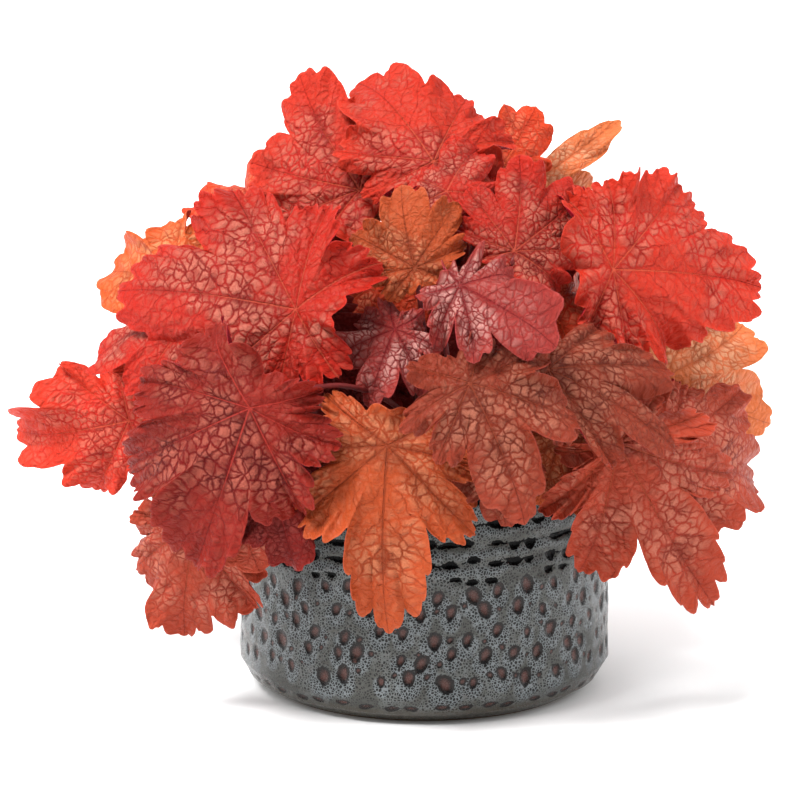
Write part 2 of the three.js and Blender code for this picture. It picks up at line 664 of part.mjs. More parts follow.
const pot = buildPot();
const crownBody = buildCrown(0);
const soil = buildSoil().subtract(buildCrown(CLEARANCE));
const leaves = layLeaves([pot, soil, crownBody]);
spreadFeet(leaves);
const stalks = [];
leaves.forEach((leaf) => {
  const others = leaves.filter((other) => other !== leaf).map((other) => other.blade);
  const stalk = routeStalk(leaf, [pot, soil, ...others], stalks);
  stalks.push(stalk);
  leaf.solid = buildLeaf(leaf, leaf.path);
});

let crown = crownBody;
leaves.forEach((leaf) => {
  const hole = [leaf.path[0].clone().addScaledVector(leaf.leave, -CLEARANCE), leaf.path[1].clone()];
  const wide = STALK_FOOT_RADIUS + CLEARANCE * 1.45;
  crown = crown.subtract(buildTube(hole, wide, wide));
});

const plant = new THREE.Group();
plant.name = "heuchera_in_pot";
plant.add(meshOf(pot, "pot", COLOURS.pot));
plant.add(meshOf(soil, "soil", COLOURS.soil));
plant.add(meshOf(crown, "crown", COLOURS.crown));
leaves.forEach((leaf, i) => {
  const name = `leaf_${String(i + 1).padStart(2, "0")}`;
  const mesh = meshOf(leaf.solid, name, COLOURS[leaf.colour]);
  plant.add(mesh);
});

export default plant;
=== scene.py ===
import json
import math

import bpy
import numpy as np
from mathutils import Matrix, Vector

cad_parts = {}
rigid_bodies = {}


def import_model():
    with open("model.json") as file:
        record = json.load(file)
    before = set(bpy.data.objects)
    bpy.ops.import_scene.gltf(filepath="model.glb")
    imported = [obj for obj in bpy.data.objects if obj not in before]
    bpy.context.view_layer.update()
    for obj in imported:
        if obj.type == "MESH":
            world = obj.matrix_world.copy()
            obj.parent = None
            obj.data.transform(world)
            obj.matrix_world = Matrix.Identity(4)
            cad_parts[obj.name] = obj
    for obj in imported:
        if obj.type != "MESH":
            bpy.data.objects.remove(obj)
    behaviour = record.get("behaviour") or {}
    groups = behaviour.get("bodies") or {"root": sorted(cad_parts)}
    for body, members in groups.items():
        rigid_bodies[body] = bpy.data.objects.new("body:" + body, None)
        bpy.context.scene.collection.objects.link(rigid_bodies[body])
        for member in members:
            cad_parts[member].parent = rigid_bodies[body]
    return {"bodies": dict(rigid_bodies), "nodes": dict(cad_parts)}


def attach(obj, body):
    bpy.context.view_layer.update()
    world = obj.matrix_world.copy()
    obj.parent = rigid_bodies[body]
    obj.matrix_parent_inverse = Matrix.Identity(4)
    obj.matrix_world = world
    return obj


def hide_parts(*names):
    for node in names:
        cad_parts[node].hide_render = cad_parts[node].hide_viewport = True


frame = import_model()

# A heuchera in full leaf in its hammered stoneware pot. Fine leaves, soil, crown and pot stand for
# the plain solids of the frame, with a studio's floor, lights and camera round them.
# Sizes are in millimetres and turn into metres where a mesh is made. The studio's sizes and the
# depths of the bumps are in metres.

MM = 0.001
BODY = next(iter(frame["bodies"]))
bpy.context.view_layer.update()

# ---- sizes shared with the frame ----
POT_RADIUS = 90
POT_HEIGHT = 116
FOOT_RADIUS = 75
BEVEL_MIDDLE = (85.5, 5.9)
BEVEL_HEIGHT = 14
WALL = 6
FLOOR = 8
SOIL_TOP = 105
SOIL_RADIUS = 83.6
SOIL_GAP = 0.35
CROWN_HEIGHT = 105
CROWN_RADIUS = 25
STALK_CORNERS = 4
TOOTH = 0.1
FRAME_HEEL = 0.07
SEVEN_LOBES_FROM = 40
# A leaf of the front was laid in whole steps towards STACK_POINT, one of the back along its facing.
SETTLE_STEP = 1.5
MOST_STEPS = 62
STACK_POINT = np.array([-11.7, -1569.5, 449.4])
MOUND = np.array([-8.0, 0.0, 130.0])

# ---- fine leaves ----
LARGE, MIDDLE = 80, 56  # the lengths from which a leaf is large or middle-sized
BLADE_THICKNESS = 0.6
MARGIN_THICKNESS = 0.36
RIM_SHARES = [0.95, 0.975, 0.99, 1.0]
RIM_OUT = 0.12
MOST_SAG = 1.5
HEEL = 0.2
# the greatest share of the reach, the depth and the roundness of the scallops and their small teeth
SCALLOPS = (1.035, 0.15, 0.42)
SMALL_TEETH = (1.01, 0.04, 0.5)
LOBE_SWING = 5
VEIN_SPACING = 0.19
VEIN_LEAN = 1.15
PUFF, PUFF_WIDTH = 0.9, 2.4
RUFFLE, CRIMP = 3.4, 1.5
FULL_RUFFLE_FROM = 60
STALK_FOOT, STALK_TOP, STALK_FLARE = 1.5, 1.15, 0.7
STALK_SIDES = 10
STALK_RING_GAP = 4
SPAN_POINTS = 12

# One row a leaf of the front, as in the frame: colour, place of the stalk's end, facing (azimuth
# from the front, elevation), turn of the tip, length, width, spread, fold across, droop along and
# wave.
FRONT_LEAVES = [
    ["orange", 48.9, 25, 237.5, 30, 35, 63, 66, 0.62, 135, 20, -10, 0.06],
    ["orange", 37.6, 5, 252.2, 20, 20, 40, 35, 0.95, 165, 30, 10, 0.07],
    ["orange", -75, 0, 230.2, -30, 42, -78, 56, 0.95, 165, 30, 20, 0.06],
    ["orange", -115, -25, 199, -38, 18, -84, 62, 0.95, 165, 15, 20, 0.07],
    ["red", -141, -20, 132.5, -20, -5, -106, 75, 0.8, 165, 15, 10, 0.07],
    ["orange", 114, -25, 155, 30, 10, 116, 76, 0.9, 160, 20, 20, 0.07],
    ["red", -30.7, -10, 242.1, -15, 25, -38, 64, 1, 175, 8, 10, 0.06],
    ["rose", 4, -30, 258, -5, 40, -31, 60, 0.95, 175, 20, 10, 0.06],
    ["rose", 10, -45, 246, 0, 50, 20, 36, 0.9, 165, 30, 0, 0.08],
    ["crimson", -34, -52, 168, -8, 18, 185, 46, 0.9, 165, 25, 15, 0.07],
    ["orange", -35, -15, 226, -10, 25, -10, 30, 0.95, 165, 20, 10, 0.07],
    ["russet", -13, -50, 211, 0, 15, 184, 46, 1, 175, 25, 10, 0.07],
    ["crimson", 23, -48, 184, 8, 18, 172, 46, 0.9, 165, 25, 15, 0.07],
    ["red", 113, -70, 128.9, 35, 15, 110, 66, 0.95, 165, 25, 20, 0.07],
    ["russet", -31, -70, 170, 0, 10, 190, 38, 0.95, 165, 25, 10, 0.07],
    ["rose", -54, -78, 192, -5, 20, 146, 40, 0.95, 165, 30, 10, 0.09],
    ["russet", 54.6, -75, 200.1, 10, 20, 150, 36, 0.9, 165, 30, 10, 0.08],
    ["crimson", -64.3, -90, 123.8, -10, 0, 175, 32, 0.9, 165, 30, 10, 0.08],
    ["crimson", 61.1, -95, 138.8, 10, 20, 150, 42, 0.9, 165, 30, 10, 0.08],
    ["orange", 6.4, -105, 127.1, 0, 0, 180, 34, 0.9, 165, 20, 10, 0.07],
    ["rose", 33.6, -105, 129.4, 0, 0, 170, 34, 0.9, 165, 20, 10, 0.07],
    ["orange", -106, -95, 99.1, -25, -5, 193, 58, 0.95, 165, 20, 10, 0.07],
    ["russet", -85.5, -100, 114, -10, 0, 170, 38, 0.9, 165, 25, 10, 0.07],
    ["red", -67, -104, 110, -5, 0, 165, 34, 0.95, 165, 25, 10, 0.08],
    ["red", 87.5, -98, 137.9, 15, 0, 150, 86, 0.9, 150, 20, 10, 0.06],
    ["russet", 54.6, -108, 174, 15, 28, 116, 68, 0.8, 165, 30, 20, 0.07],
    ["russet", -108, -62, 188, -35, 45, -100, 58, 0.9, 165, 40, 25, 0.08],
    ["red", -79.1, -112, 157.1, -20, 5, 199, 81, 0.95, 165, 20, 15, 0.06],
    ["orange", -17.1, -122, 142, 0, 10, 184, 80, 1, 140, 15, 5, 0.05],
    ["orange", 19.3, -124, 170.7, 5, 25, 155, 64, 0.95, 160, 20, 10, 0.06],
    ["russet", 40.8, -66, 221.2, 5, 25, 10, 48, 0.95, 165, 35, 10, 0.08],
    ["orange", -4.9, -80, 215.7, -5, 15, -16, 40, 0.95, 165, 20, 10, 0.06],
    ["crimson", -14, -96, 190, -5, 30, 200, 40, 0.95, 165, 25, 10, 0.12],
    ["red", 85.1, -80, 214.9, 25, 15, 94, 80, 0.95, 165, 20, 15, 0.06],
    ["red", -58.3, -104, 200.6, -22, 18, -84, 90, 0.95, 155, 20, 15, 0.05],
    ["rose", 15.3, -100, 210.6, 5, 40, 118, 50, 0.95, 165, 25, 10, 0.12],
]

# For a large leaf of the front, by its number: the angle between its lobes, then the reach of each.
LOBES = {
    1: [48, 0.37, 0.5, 0.88, 1.08, 0.45, 0.5, 0.4],
    4: [48, 0.39, 0.55, 0.7, 1, 0.8, 0.6, 0.4],
    5: [47, 0.5, 0.74, 1.03, 0.72, 0.55],
    6: [38, 0.5, 0.65, 0.8, 1.05, 0.9, 0.78, 0.5],
    7: [36, 0.4, 0.55, 0.8, 1.1, 0.94, 0.88, 0.6],
    8: [44, 0.55, 0.76, 0.78, 1.17, 0.82, 0.65, 0.4],
    14: [38, 0.5, 0.65, 0.84, 1.28, 1, 0.65, 0.5],
    22: [41, 0.5, 0.6, 0.88, 1.06, 0.9, 0.7, 0.5],
    25: [36, 0.35, 0.6, 0.84, 1.15, 0.86, 0.6, 0.4],
    26: [32, 0.4, 0.6, 0.85, 1.08, 0.98, 0.7, 0.45],
    28: [42, 0.6, 0.82, 1.08, 1.05, 0.68, 0.56, 0.42],
    29: [42, 0.46, 0.6, 0.7, 1.05, 0.7, 0.6, 0.44],
    30: [46, 0.46, 0.6, 0.6, 1, 0.88, 0.72, 0.45],
    31: [38, 0.66, 0.82, 1.08, 0.95, 0.85, 0.65, 0.4],
    32: [42, 0.45, 0.7, 0.95, 1, 0.86, 0.6, 0.5],
    34: [39, 0.42, 0.6, 0.7, 1.06, 0.84, 0.58, 0.55],
    35: [44, 0.48, 0.62, 0.86, 1.16, 0.72, 0.62, 0.4],
    36: [48, 0.4, 0.6, 0.72, 0.98, 0.68, 0.44, 0.3],
}

# How deep the notches between the lobes are on leaves cut differently from the rest, by number, and
# how much deeper the fine blades are cut than the solids of the frame.
CUTS = {1: 0.5, 5: 0.3, 7: 0.2, 8: 0.24, 14: 0.2, 22: 0.16, 25: 0.46, 29: 0.42, 30: 0.4, 34: 0.12}
DEEPER = {28: 0.06, 33: 0.1, 34: 0.04, 35: 0.03, 36: 0.12}

# Leaves round the sides, the back and the top: azimuth, elevation and reach of the stalk's end from
# the middle of the mound, facing elevation, turn, length, colour.
BACK_LEAVES = [
    [112, 0, 112, 8, 172, 70, "orange"],
    [140, 2, 112, 10, 190, 76, "red"],
    [168, 0, 114, 8, 174, 72, "rose"],
    [196, 3, 112, 10, 188, 78, "russet"],
    [224, 0, 112, 8, 170, 70, "red"],
    [250, 2, 108, 10, 176, 66, "orange"],
    [66, 46, 92, 24, 62, 56, "orange"],
    [106, 34, 100, 42, 190, 60, "russet"],
    [133, 31, 104, 42, 172, 66, "rose"],
    [156, 34, 106, 46, 186, 58, "orange"],
    [184, 30, 108, 44, 160, 60, "red"],
    [213, 30, 106, 40, 190, 66, "crimson"],
    [242, 32, 104, 42, 170, 64, "red"],
    [274, 38, 96, 50, 190, 54, "rose"],
    [148, 54, 92, 66, 178, 48, "orange"],
    [180, 60, 98, 66, 172, 54, "russet"],
    [216, 54, 94, 62, 186, 54, "rose"],
    [180, 86, 104, 78, 180, 50, "red"],
]

# body of the blade, its puffed cells, its margin, its underside and its main veins near the stalk,
# as the eye sees them (0 to 255)
FINISHES = {
    "scarlet": [(194, 37, 28), (218, 110, 90), (222, 58, 38), (164, 14, 48), (222, 92, 64)],
    "salmon": [(168, 34, 27), (216, 120, 100), (208, 44, 30), (164, 16, 50), (212, 88, 64)],
    "apricot": [(228, 94, 48), (246, 158, 106), (240, 100, 46), (196, 54, 48), (226, 104, 56)],
    "amber": [(242, 124, 76), (252, 180, 136), (248, 130, 72), (200, 60, 50), (236, 122, 72)],
    "flame": [(218, 44, 32), (234, 112, 90), (236, 64, 42), (170, 14, 48), (228, 92, 64)],
    "garnet": [(118, 16, 15), (186, 95, 78), (158, 40, 30), (150, 12, 44), (196, 62, 52)],
    "ember": [(216, 58, 32), (236, 120, 86), (232, 72, 36), (176, 28, 44), (230, 98, 58)],
    "coral": [(192, 78, 42), (222, 132, 92), (206, 88, 46), (160, 34, 42), (156, 66, 38)],
    "copper": [(174, 60, 42), (212, 122, 98), (192, 72, 48), (150, 20, 40), (178, 78, 50)],
    "umber": [(138, 50, 32), (190, 112, 88), (158, 60, 40), (150, 20, 40), (160, 70, 46)],
    "silver": [(148, 48, 48), (230, 162, 152), (176, 60, 54), (156, 22, 58), (146, 32, 38)],
    "wine": [(108, 18, 18), (162, 68, 60), (144, 36, 30), (108, 10, 32), (156, 44, 40)],
}
SLOT_FINISH = {"red": "scarlet", "orange": "coral", "rose": "silver", "russet": "copper",
               "crimson": "wine"}
# the finish of a leaf that differs from its slot's usual one, by its number
# amber and flame are partly the leaves' own colour and partly painted glow: brighter finishes for
# leaves lit through from behind
OWN_FINISH = {
    1: "amber", 2: "ember", 3: "ember", 4: "apricot", 5: "flame", 6: "amber", 8: "scarlet",
    9: "salmon", 12: "ember", 14: "copper", 15: "wine", 16: "wine", 17: "ember", 19: "coral",
    21: "umber", 22: "copper", 24: "wine", 25: "copper", 26: "umber", 27: "salmon", 28: "garnet",
    30: "umber", 31: "salmon", 33: "silver", 35: "salmon",
}

# the share of light that a surface throws back, under lamps brighter than white paper needs
SURFACE_SHARE = 0.72


def draw(index, seed):
    """A repeatable draw between 0 and 1."""
    value = np.sin(np.asarray(index) * 127.1 + seed * 311.7) * 43758.5453
    return value - np.floor(value)


def unit(vector):
    return vector / np.linalg.norm(vector)


def smooth(edge0, edge1, value):
    """0 before the first edge, 1 past the second, and a soft slope between them."""
    t = np.clip((value - edge0) / (edge1 - edge0), 0, 1)
    return t * t * (3 - 2 * t)


def direction(azimuth, elevation):
    """The way of an azimuth from the front and an elevation, both in degrees."""
    azimuth, elevation = math.radians(azimuth), math.radians(elevation)
    flat = math.cos(elevation)
    return np.array([math.sin(azimuth) * flat, -math.cos(azimuth) * flat, math.sin(elevation)])


def by_size(length, large, middle, small):
    return large if length >= LARGE else middle if length >= MIDDLE else small


def linear(colour):
    """A colour as the eye sees it, 0 to 255, as light."""
    return [((c / 255 + 0.055) / 1.055) ** 2.4 if c > 10 else c / 255 / 12.92 for c in colour]


def toned(colour, times, more=0):
    """The colour lighter or darker, each part at most 255."""
    return tuple(min(255, c * times + more) for c in colour)


# ---- meshes ----
def make_piece(name, points, faces, material, attributes=None):
    """A smooth piece in the frame from points in millimetres, riding on the plant's body."""
    mesh = bpy.data.meshes.new(name)
    mesh.from_pydata(np.asarray(points) * MM, [], faces)
    mesh.polygons.foreach_set("use_smooth", np.ones(len(mesh.polygons), bool))
    for key, values in (attributes or {}).items():
        values = np.asarray(values, np.float32)
        kind, field = ("FLOAT_VECTOR", "vector") if values.ndim == 2 else ("FLOAT", "value")
        mesh.attributes.new(key, kind, "POINT").data.foreach_set(field, values.ravel())
    mesh.materials.append(material)
    piece = bpy.data.objects.new(name, mesh)
    bpy.context.scene.collection.objects.link(piece)
    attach(piece, BODY)
    return piece


def full_turn(columns):
    return np.linspace(0, 2 * math.pi, columns, endpoint=False)


def strip(first, second, columns):
    """Quads between two rings of points that start at these numbers."""
    quads = []
    for i in range(columns):
        j = (i + 1) % columns
        quads.append((first + i, first + j, second + j, second + i))
    return quads


def round_faces(rings, columns):
    """Faces of a closed body made of a first point, rings one after another and a last point."""
    faces = [(0, 1 + (i + 1) % columns, 1 + i) for i in range(columns)]
    for k in range(rings - 1):
        faces += strip(1 + k * columns, 1 + (k + 1) * columns, columns)
    end = 1 + rings * columns
    faces += [(end, end - columns + i, end - columns + (i + 1) % columns) for i in range(columns)]
    return faces


# ---- materials ----
class Paint:
    """Nodes of a material or world. Each call adds a node and gives back its output socket."""

    def __init__(self, owner, dimensions="3D"):
        owner.use_nodes = True
        self.owner, self.tree, self.dimensions = owner, owner.node_tree, dimensions
        self.tree.nodes.clear()

    def add(self, kind, inputs=None, output=0, **settings):
        node = self.tree.nodes.new(kind)
        for key, value in settings.items():
            setattr(node, key, value)
        for key, value in (inputs or {}).items():
            if isinstance(value, bpy.types.NodeSocket):
                self.tree.links.new(value, node.inputs[key])
            else:
                node.inputs[key].default_value = value
        return node.outputs[output] if node.outputs else node

    def math(self, operation, a, b=0.5):
        return self.add("ShaderNodeMath", {0: a, 1: b}, operation=operation)

    def product(self, first, *others):
        for other in others:
            first = self.math("MULTIPLY", first, other)
        return first

    def vector(self, operation, a, b):
        return self.add("ShaderNodeVectorMath", {0: a, 1: b}, operation=operation)

    def parts(self, vector):
        return self.add("ShaderNodeSeparateXYZ", {0: vector}).node.outputs

    def ramp(self, value, low, high, to_low=0.0, to_high=1.0):
        sockets = {"Value": value, "From Min": low, "From Max": high,
                   "To Min": to_low, "To Max": to_high}
        return self.add("ShaderNodeMapRange", sockets, interpolation_type="SMOOTHSTEP")

    def mix(self, factor, *pair):
        """The first colour turned into the second by the factor. Each is a socket or 0 to 255."""
        sockets = {0: factor}
        for key, colour in zip((6, 7), pair):
            if not isinstance(colour, bpy.types.NodeSocket):
                colour = (*(c * SURFACE_SHARE for c in linear(colour)), 1)
            sockets[key] = colour
        return self.add("ShaderNodeMix", sockets, 2, data_type="RGBA")

    def attribute(self, name, output="Fac"):
        return self.add("ShaderNodeAttribute", output=output, attribute_name=name)

    def place(self, stretch=(1000, 1000, 1000)):
        """Where the surface is, in millimetres unless the stretch says otherwise."""
        return self.vector("MULTIPLY", self.add("ShaderNodeNewGeometry"), stretch)

    def noise(self, where, scale, detail=2.0, output=0):
        sockets = {"Vector": where, "Scale": scale, "Detail": detail}
        return self.add("ShaderNodeTexNoise", sockets, output, noise_dimensions=self.dimensions)

    def rag(self, value, noise, far):
        """The value moved up or down by a noise, at most half this far."""
        return self.math("ADD", value, self.product(self.math("SUBTRACT", noise, 0.5), far))

    def cells(self, where, scale, feature="DISTANCE_TO_EDGE", output="Distance"):
        return self.add("ShaderNodeTexVoronoi", {"Vector": where, "Scale": scale}, output,
                        feature=feature, voronoi_dimensions=self.dimensions)

    def bump(self, height, distance, strength, under=None):
        sockets = {"Height": height, "Distance": distance, "Strength": strength}
        if under is not None:
            sockets["Normal"] = under
        return self.add("ShaderNodeBump", sockets)

    def surface(self, colour, rough, normal, specular=0.5):
        return self.add("ShaderNodeBsdfPrincipled", {
            "Base Color": colour, "Roughness": rough, "Normal": normal,
            "Specular IOR Level": specular})

    def finish(self, shader):
        self.add("ShaderNodeOutputMaterial", {"Surface": shader})
        return self.owner


def leaf_material(name, finish, seed, length):
    """A blade: red veins sunk between paler puffed cells, a warm margin, light passing through."""
    shift = 1 + 0.08 * (draw(21, seed) - 0.5)
    body, pale, margin, under, vein_near = [toned(tone, shift) for tone in FINISHES[finish]]
    vein_far = toned(body, 0.84)
    p = Paint(bpy.data.materials.new(name), "2D")
    place = p.vector("ADD", p.attribute("flat", "Vector"), (seed * 37.0, seed * 11.0, 0))
    along, across, phase = p.parts(p.attribute("veins", "Vector"))
    share = p.attribute("share")
    wander = p.noise(place, 0.11, 3)
    # parts of the blade painted as lit through from behind: an even, glowing red without pale cells
    painted_glow = p.ramp(p.noise(place, 0.026, 2), 0.44, 0.62)
    # the primary veins, thick at the stalk and thin at the margin
    width = p.ramp(along, 0, length, 1.0, 0.3)
    primary = p.ramp(p.math("DIVIDE", across, width), 0.2, 0.62, 1, 0)
    # the secondary veins, branching off to the teeth
    phase = p.math("ADD", phase, p.product(wander, 0.8))
    branch = p.math("ABSOLUTE", p.math("SUBTRACT", p.math("FRACT", phase), 0.5))
    grown = p.ramp(along, 0.14 * length, 0.3 * length)
    secondary = p.product(p.ramp(branch, 0.006, 0.026, 1, 0), grown)
    # the net of small veins, bent by a wide and a narrow noise, with puffed cells between them
    bent = place
    for scale, detail, far in ((0.16, 1.5, 3.4), (0.6, 1.0, 1.1)):
        push = p.vector("MULTIPLY", p.noise(place, scale, detail, "Color"), (far, far, 0))
        bent = p.vector("ADD", bent, push)
    cell = by_size(length, 4.9, 4.2, 3.3)
    net = p.cells(bent, 1 / cell)
    fine_net = p.cells(bent, 2.3 / cell)
    puffed = p.ramp(net, 0.01, 0.21)
    finer = p.ramp(fine_net, 0.0, 0.16)
    away = p.product(p.ramp(across, 0.4, 2.8), p.ramp(branch, 0.01, 0.1))
    zone = p.product(p.ramp(wander, 0.32, 0.56, 0.45, 1.0), p.ramp(share, 0.7, 1.0, 1, 0.12),
                     p.ramp(away, 0, 1, 0.3, 1), p.ramp(painted_glow, 0, 1, 1, 0.25))
    paleness = p.product(puffed, zone, p.ramp(finer, 0, 1, 0.78, 1))
    # colours, from the body's own to what lies on it
    patchy = p.ramp(p.noise(place, 0.06, 3), 0.34, 0.68)
    base = p.mix(patchy, toned(body, 1.06), toned(body, 0.8))
    # painted shade, deepening towards the stalk in the crowded middle of the plant
    base = p.mix(p.ramp(share, 0.02, 0.5, 0.45, 0), base, toned(body, 0.6))
    # the margin's own warmer colour, and the painted glow of the lit-through parts, which takes the
    # margin's colour
    warm = p.math("MAXIMUM", p.ramp(share, 0.62, 1.0), p.product(painted_glow, 0.8))
    base = p.mix(warm, base, margin)
    tone = p.mix(p.product(paleness, 0.95), base, pale)
    net_line = p.ramp(net, 0.0, 0.06, 0.2, 0)
    tone = p.mix(p.product(net_line, p.ramp(share, 0.8, 1, 1, 0.3)), tone, vein_far)
    tone = p.mix(p.product(secondary, p.ramp(share, 0.75, 1.0, 0.42, 0.2)), tone, vein_far)
    vein = p.mix(p.ramp(along, 0.3 * length, 0.9 * length), vein_near, vein_far)
    tone = p.mix(p.product(primary, 0.7), tone, vein)
    # a lighter line along the very margin: partly the margin's own paler edge, partly a painted
    # highlight
    tone = p.mix(p.ramp(share, 0.975, 1.0, 0, 0.4), tone, toned(margin, 1, 34))
    tone = p.mix(p.product(p.attribute("under"), 0.85), tone, under)
    # relief, from the net of veins to the grain of the skin
    hollow = p.math("MAXIMUM", primary, p.product(secondary, 0.8))
    height = p.math("SUBTRACT", p.ramp(net, 0.0, 0.45), hollow)
    relief = p.bump(height, 0.0008, 0.75)
    relief = p.bump(finer, 0.00035, 0.5, relief)
    relief = p.bump(p.noise(place, 2.2, 2), 0.00015, 0.5, relief)
    rough = p.ramp(p.noise(place, 0.5, 2), 0.3, 0.7, 0.34, 0.5)
    skin = p.surface(tone, rough, relief, 0.09)
    glow = p.mix(0.5, tone, toned(margin, 1.25))
    through = p.add("ShaderNodeBsdfTranslucent", {"Color": glow, "Normal": relief})
    return p.finish(p.add("ShaderNodeMixShader", {0: 0.22, 1: skin, 2: through}))


def stalk_material():
    """Leaf stalks: dark red, browner towards the foot and finely streaked."""
    p = Paint(bpy.data.materials.new("stalk"))
    streak = p.noise(p.place((900, 900, 160)), 1.0, 3)
    tone = p.mix(p.ramp(p.attribute("along"), 0.0, 0.8), (88, 50, 34), (122, 34, 32))
    tone = p.mix(p.ramp(streak, 0.35, 0.7, 0, 0.55), tone, (92, 22, 28))
    rough = p.ramp(streak, 0.3, 0.7, 0.45, 0.62)
    return p.finish(p.surface(tone, rough, p.bump(streak, 0.0003, 0.6), 0.25))


def glaze_material():
    """Reactive glaze: grey foam with black pinholes, pale blue where it pooled, bare dark dents."""
    p = Paint(bpy.data.materials.new("pot_glaze"))
    mm = p.place()
    dent, low, pool, ring, foot = [p.attribute(n) for n in ("dent", "low", "pool", "ring", "foot")]
    cloud = p.noise(mm, 0.045, 3)
    ragged = p.noise(mm, 0.5, 3)
    # foam: a lace of pale walls round dark pinholes, thick where the glaze pooled
    bubbles = p.cells(mm, 0.74)
    froth = p.math("ADD", pool, p.ramp(cloud, 0.36, 0.62, 0.0, 0.45))
    froth = p.ramp(p.rag(froth, ragged, 0.7), 0.0, 1.0, 0.12, 1.0)
    ground = p.mix(p.ramp(cloud, 0.36, 0.66), (68, 67, 60), (88, 87, 79))
    lace = p.mix(froth, ground, (126, 132, 134))
    inner = p.mix(froth, (26, 25, 23), (10, 10, 11))
    hole = p.math("SUBTRACT", bubbles, p.ramp(froth, 0, 1, 0.17, 0.1))
    hole = p.ramp(hole, -0.03, 0.06)
    tone = p.mix(hole, lace, inner)
    tone = p.mix(p.ramp(foot, 0.2, 0.8, 0, 0.6), tone, (74, 66, 54))
    # bare dents: brown and maroon, darkest at the rim, lighter towards the middle where a highlight
    # is painted, and with painted shade in the lower part of some
    edge = p.rag(dent, ragged, 0.5)
    core = p.mix(p.ramp(edge, 0.8, 1.4), (24, 18, 16), (92, 60, 54))
    shade = p.ramp(p.math("ADD", low, p.product(ragged, 0.5)), 0.75, 1.0)
    core = p.mix(shade, core, (8, 6, 8))
    core = p.mix(p.ramp(foot, 0.2, 0.5, 0, 0.85), core, (24, 22, 20))
    tone = p.mix(p.ramp(edge, 0.55, 0.66), tone, core)
    # dark lines along the throwing rings: the grooves are real, their black is painted shade under
    # the ridges and painted reflection of the dark leaves above
    line = p.math("ADD", p.rag(ring, ragged, 1.1), p.product(hole, 0.1))
    black = p.ramp(line, 0.42, 0.56)
    tone = p.mix(black, tone, (2, 2, 2))
    # the bare clay line it stands on
    tone = p.mix(p.ramp(foot, 1.35, 1.7), tone, (122, 98, 72))
    height = p.math("SUBTRACT", p.product(ragged, 0.6), p.product(hole, 0.4))
    relief = p.bump(cloud, 0.003, 0.35, p.bump(height, 0.0004, 0.45))
    rough = p.math("ADD", p.ramp(foot, 1.3, 1.7, 0.2, 0.75), p.product(hole, 0.14))
    return p.finish(p.surface(tone, rough, relief, p.ramp(black, 0, 1, 0.24, 0.06)))


def soil_material():
    """Dark moist potting mix with lighter fibres and crumbs."""
    p = Paint(bpy.data.materials.new("soil"))
    mm = p.place()
    crumbs = p.cells(mm, 0.45, "F1")
    grit = p.noise(mm, 0.9, 4)
    tone = p.mix(p.ramp(grit, 0.3, 0.7), (30, 20, 14), (74, 52, 36))
    fibres = p.ramp(p.cells(mm, 0.3, "F1", "Color"), 0.86, 0.9)
    tone = p.mix(fibres, tone, (120, 92, 66))
    height = p.math("ADD", p.product(crumbs, -0.7), grit)
    rough = p.ramp(grit, 0.3, 0.7, 0.7, 0.95)
    return p.finish(p.surface(tone, rough, p.bump(height, 0.002, 0.9)))


def crown_material():
    """The woody crown: brown bark scales with red buds."""
    p = Paint(bpy.data.materials.new("crown"))
    mm = p.place((1000, 1000, 420))
    scales = p.cells(mm, 0.2)
    grain = p.noise(mm, 0.5, 4)
    tone = p.mix(p.ramp(grain, 0.3, 0.7), (64, 38, 26), (118, 78, 54))
    tone = p.mix(p.ramp(scales, 0.0, 0.12, 0.8, 0), tone, (30, 18, 14))
    tone = p.mix(p.ramp(p.noise(mm, 0.12, 2), 0.55, 0.65, 0, 0.7), tone, (132, 44, 40))
    height = p.math("ADD", p.ramp(scales, 0, 0.25), p.product(grain, 0.5))
    rough = p.ramp(grain, 0.3, 0.7, 0.6, 0.85)
    return p.finish(p.surface(tone, rough, p.bump(height, 0.0015, 0.9)))


# ---- a leaf ----
def toothed(swing, greatest, depth, roundness):
    """Round teeth with sharp notches between them, as a share of the margin's reach."""
    return greatest - depth * (1 - np.abs(np.cos(swing)) ** roundness)


def bend(along, off, turn_per_mm):
    """A strip bent into an arc: places along it and off it, as seen from the side."""
    if abs(turn_per_mm) < 1e-7:
        return along, off
    phi = turn_per_mm * along
    return (np.sin(phi) / turn_per_mm + off * np.sin(phi),
            -(1 - np.cos(phi)) / turn_per_mm + off * np.cos(phi))


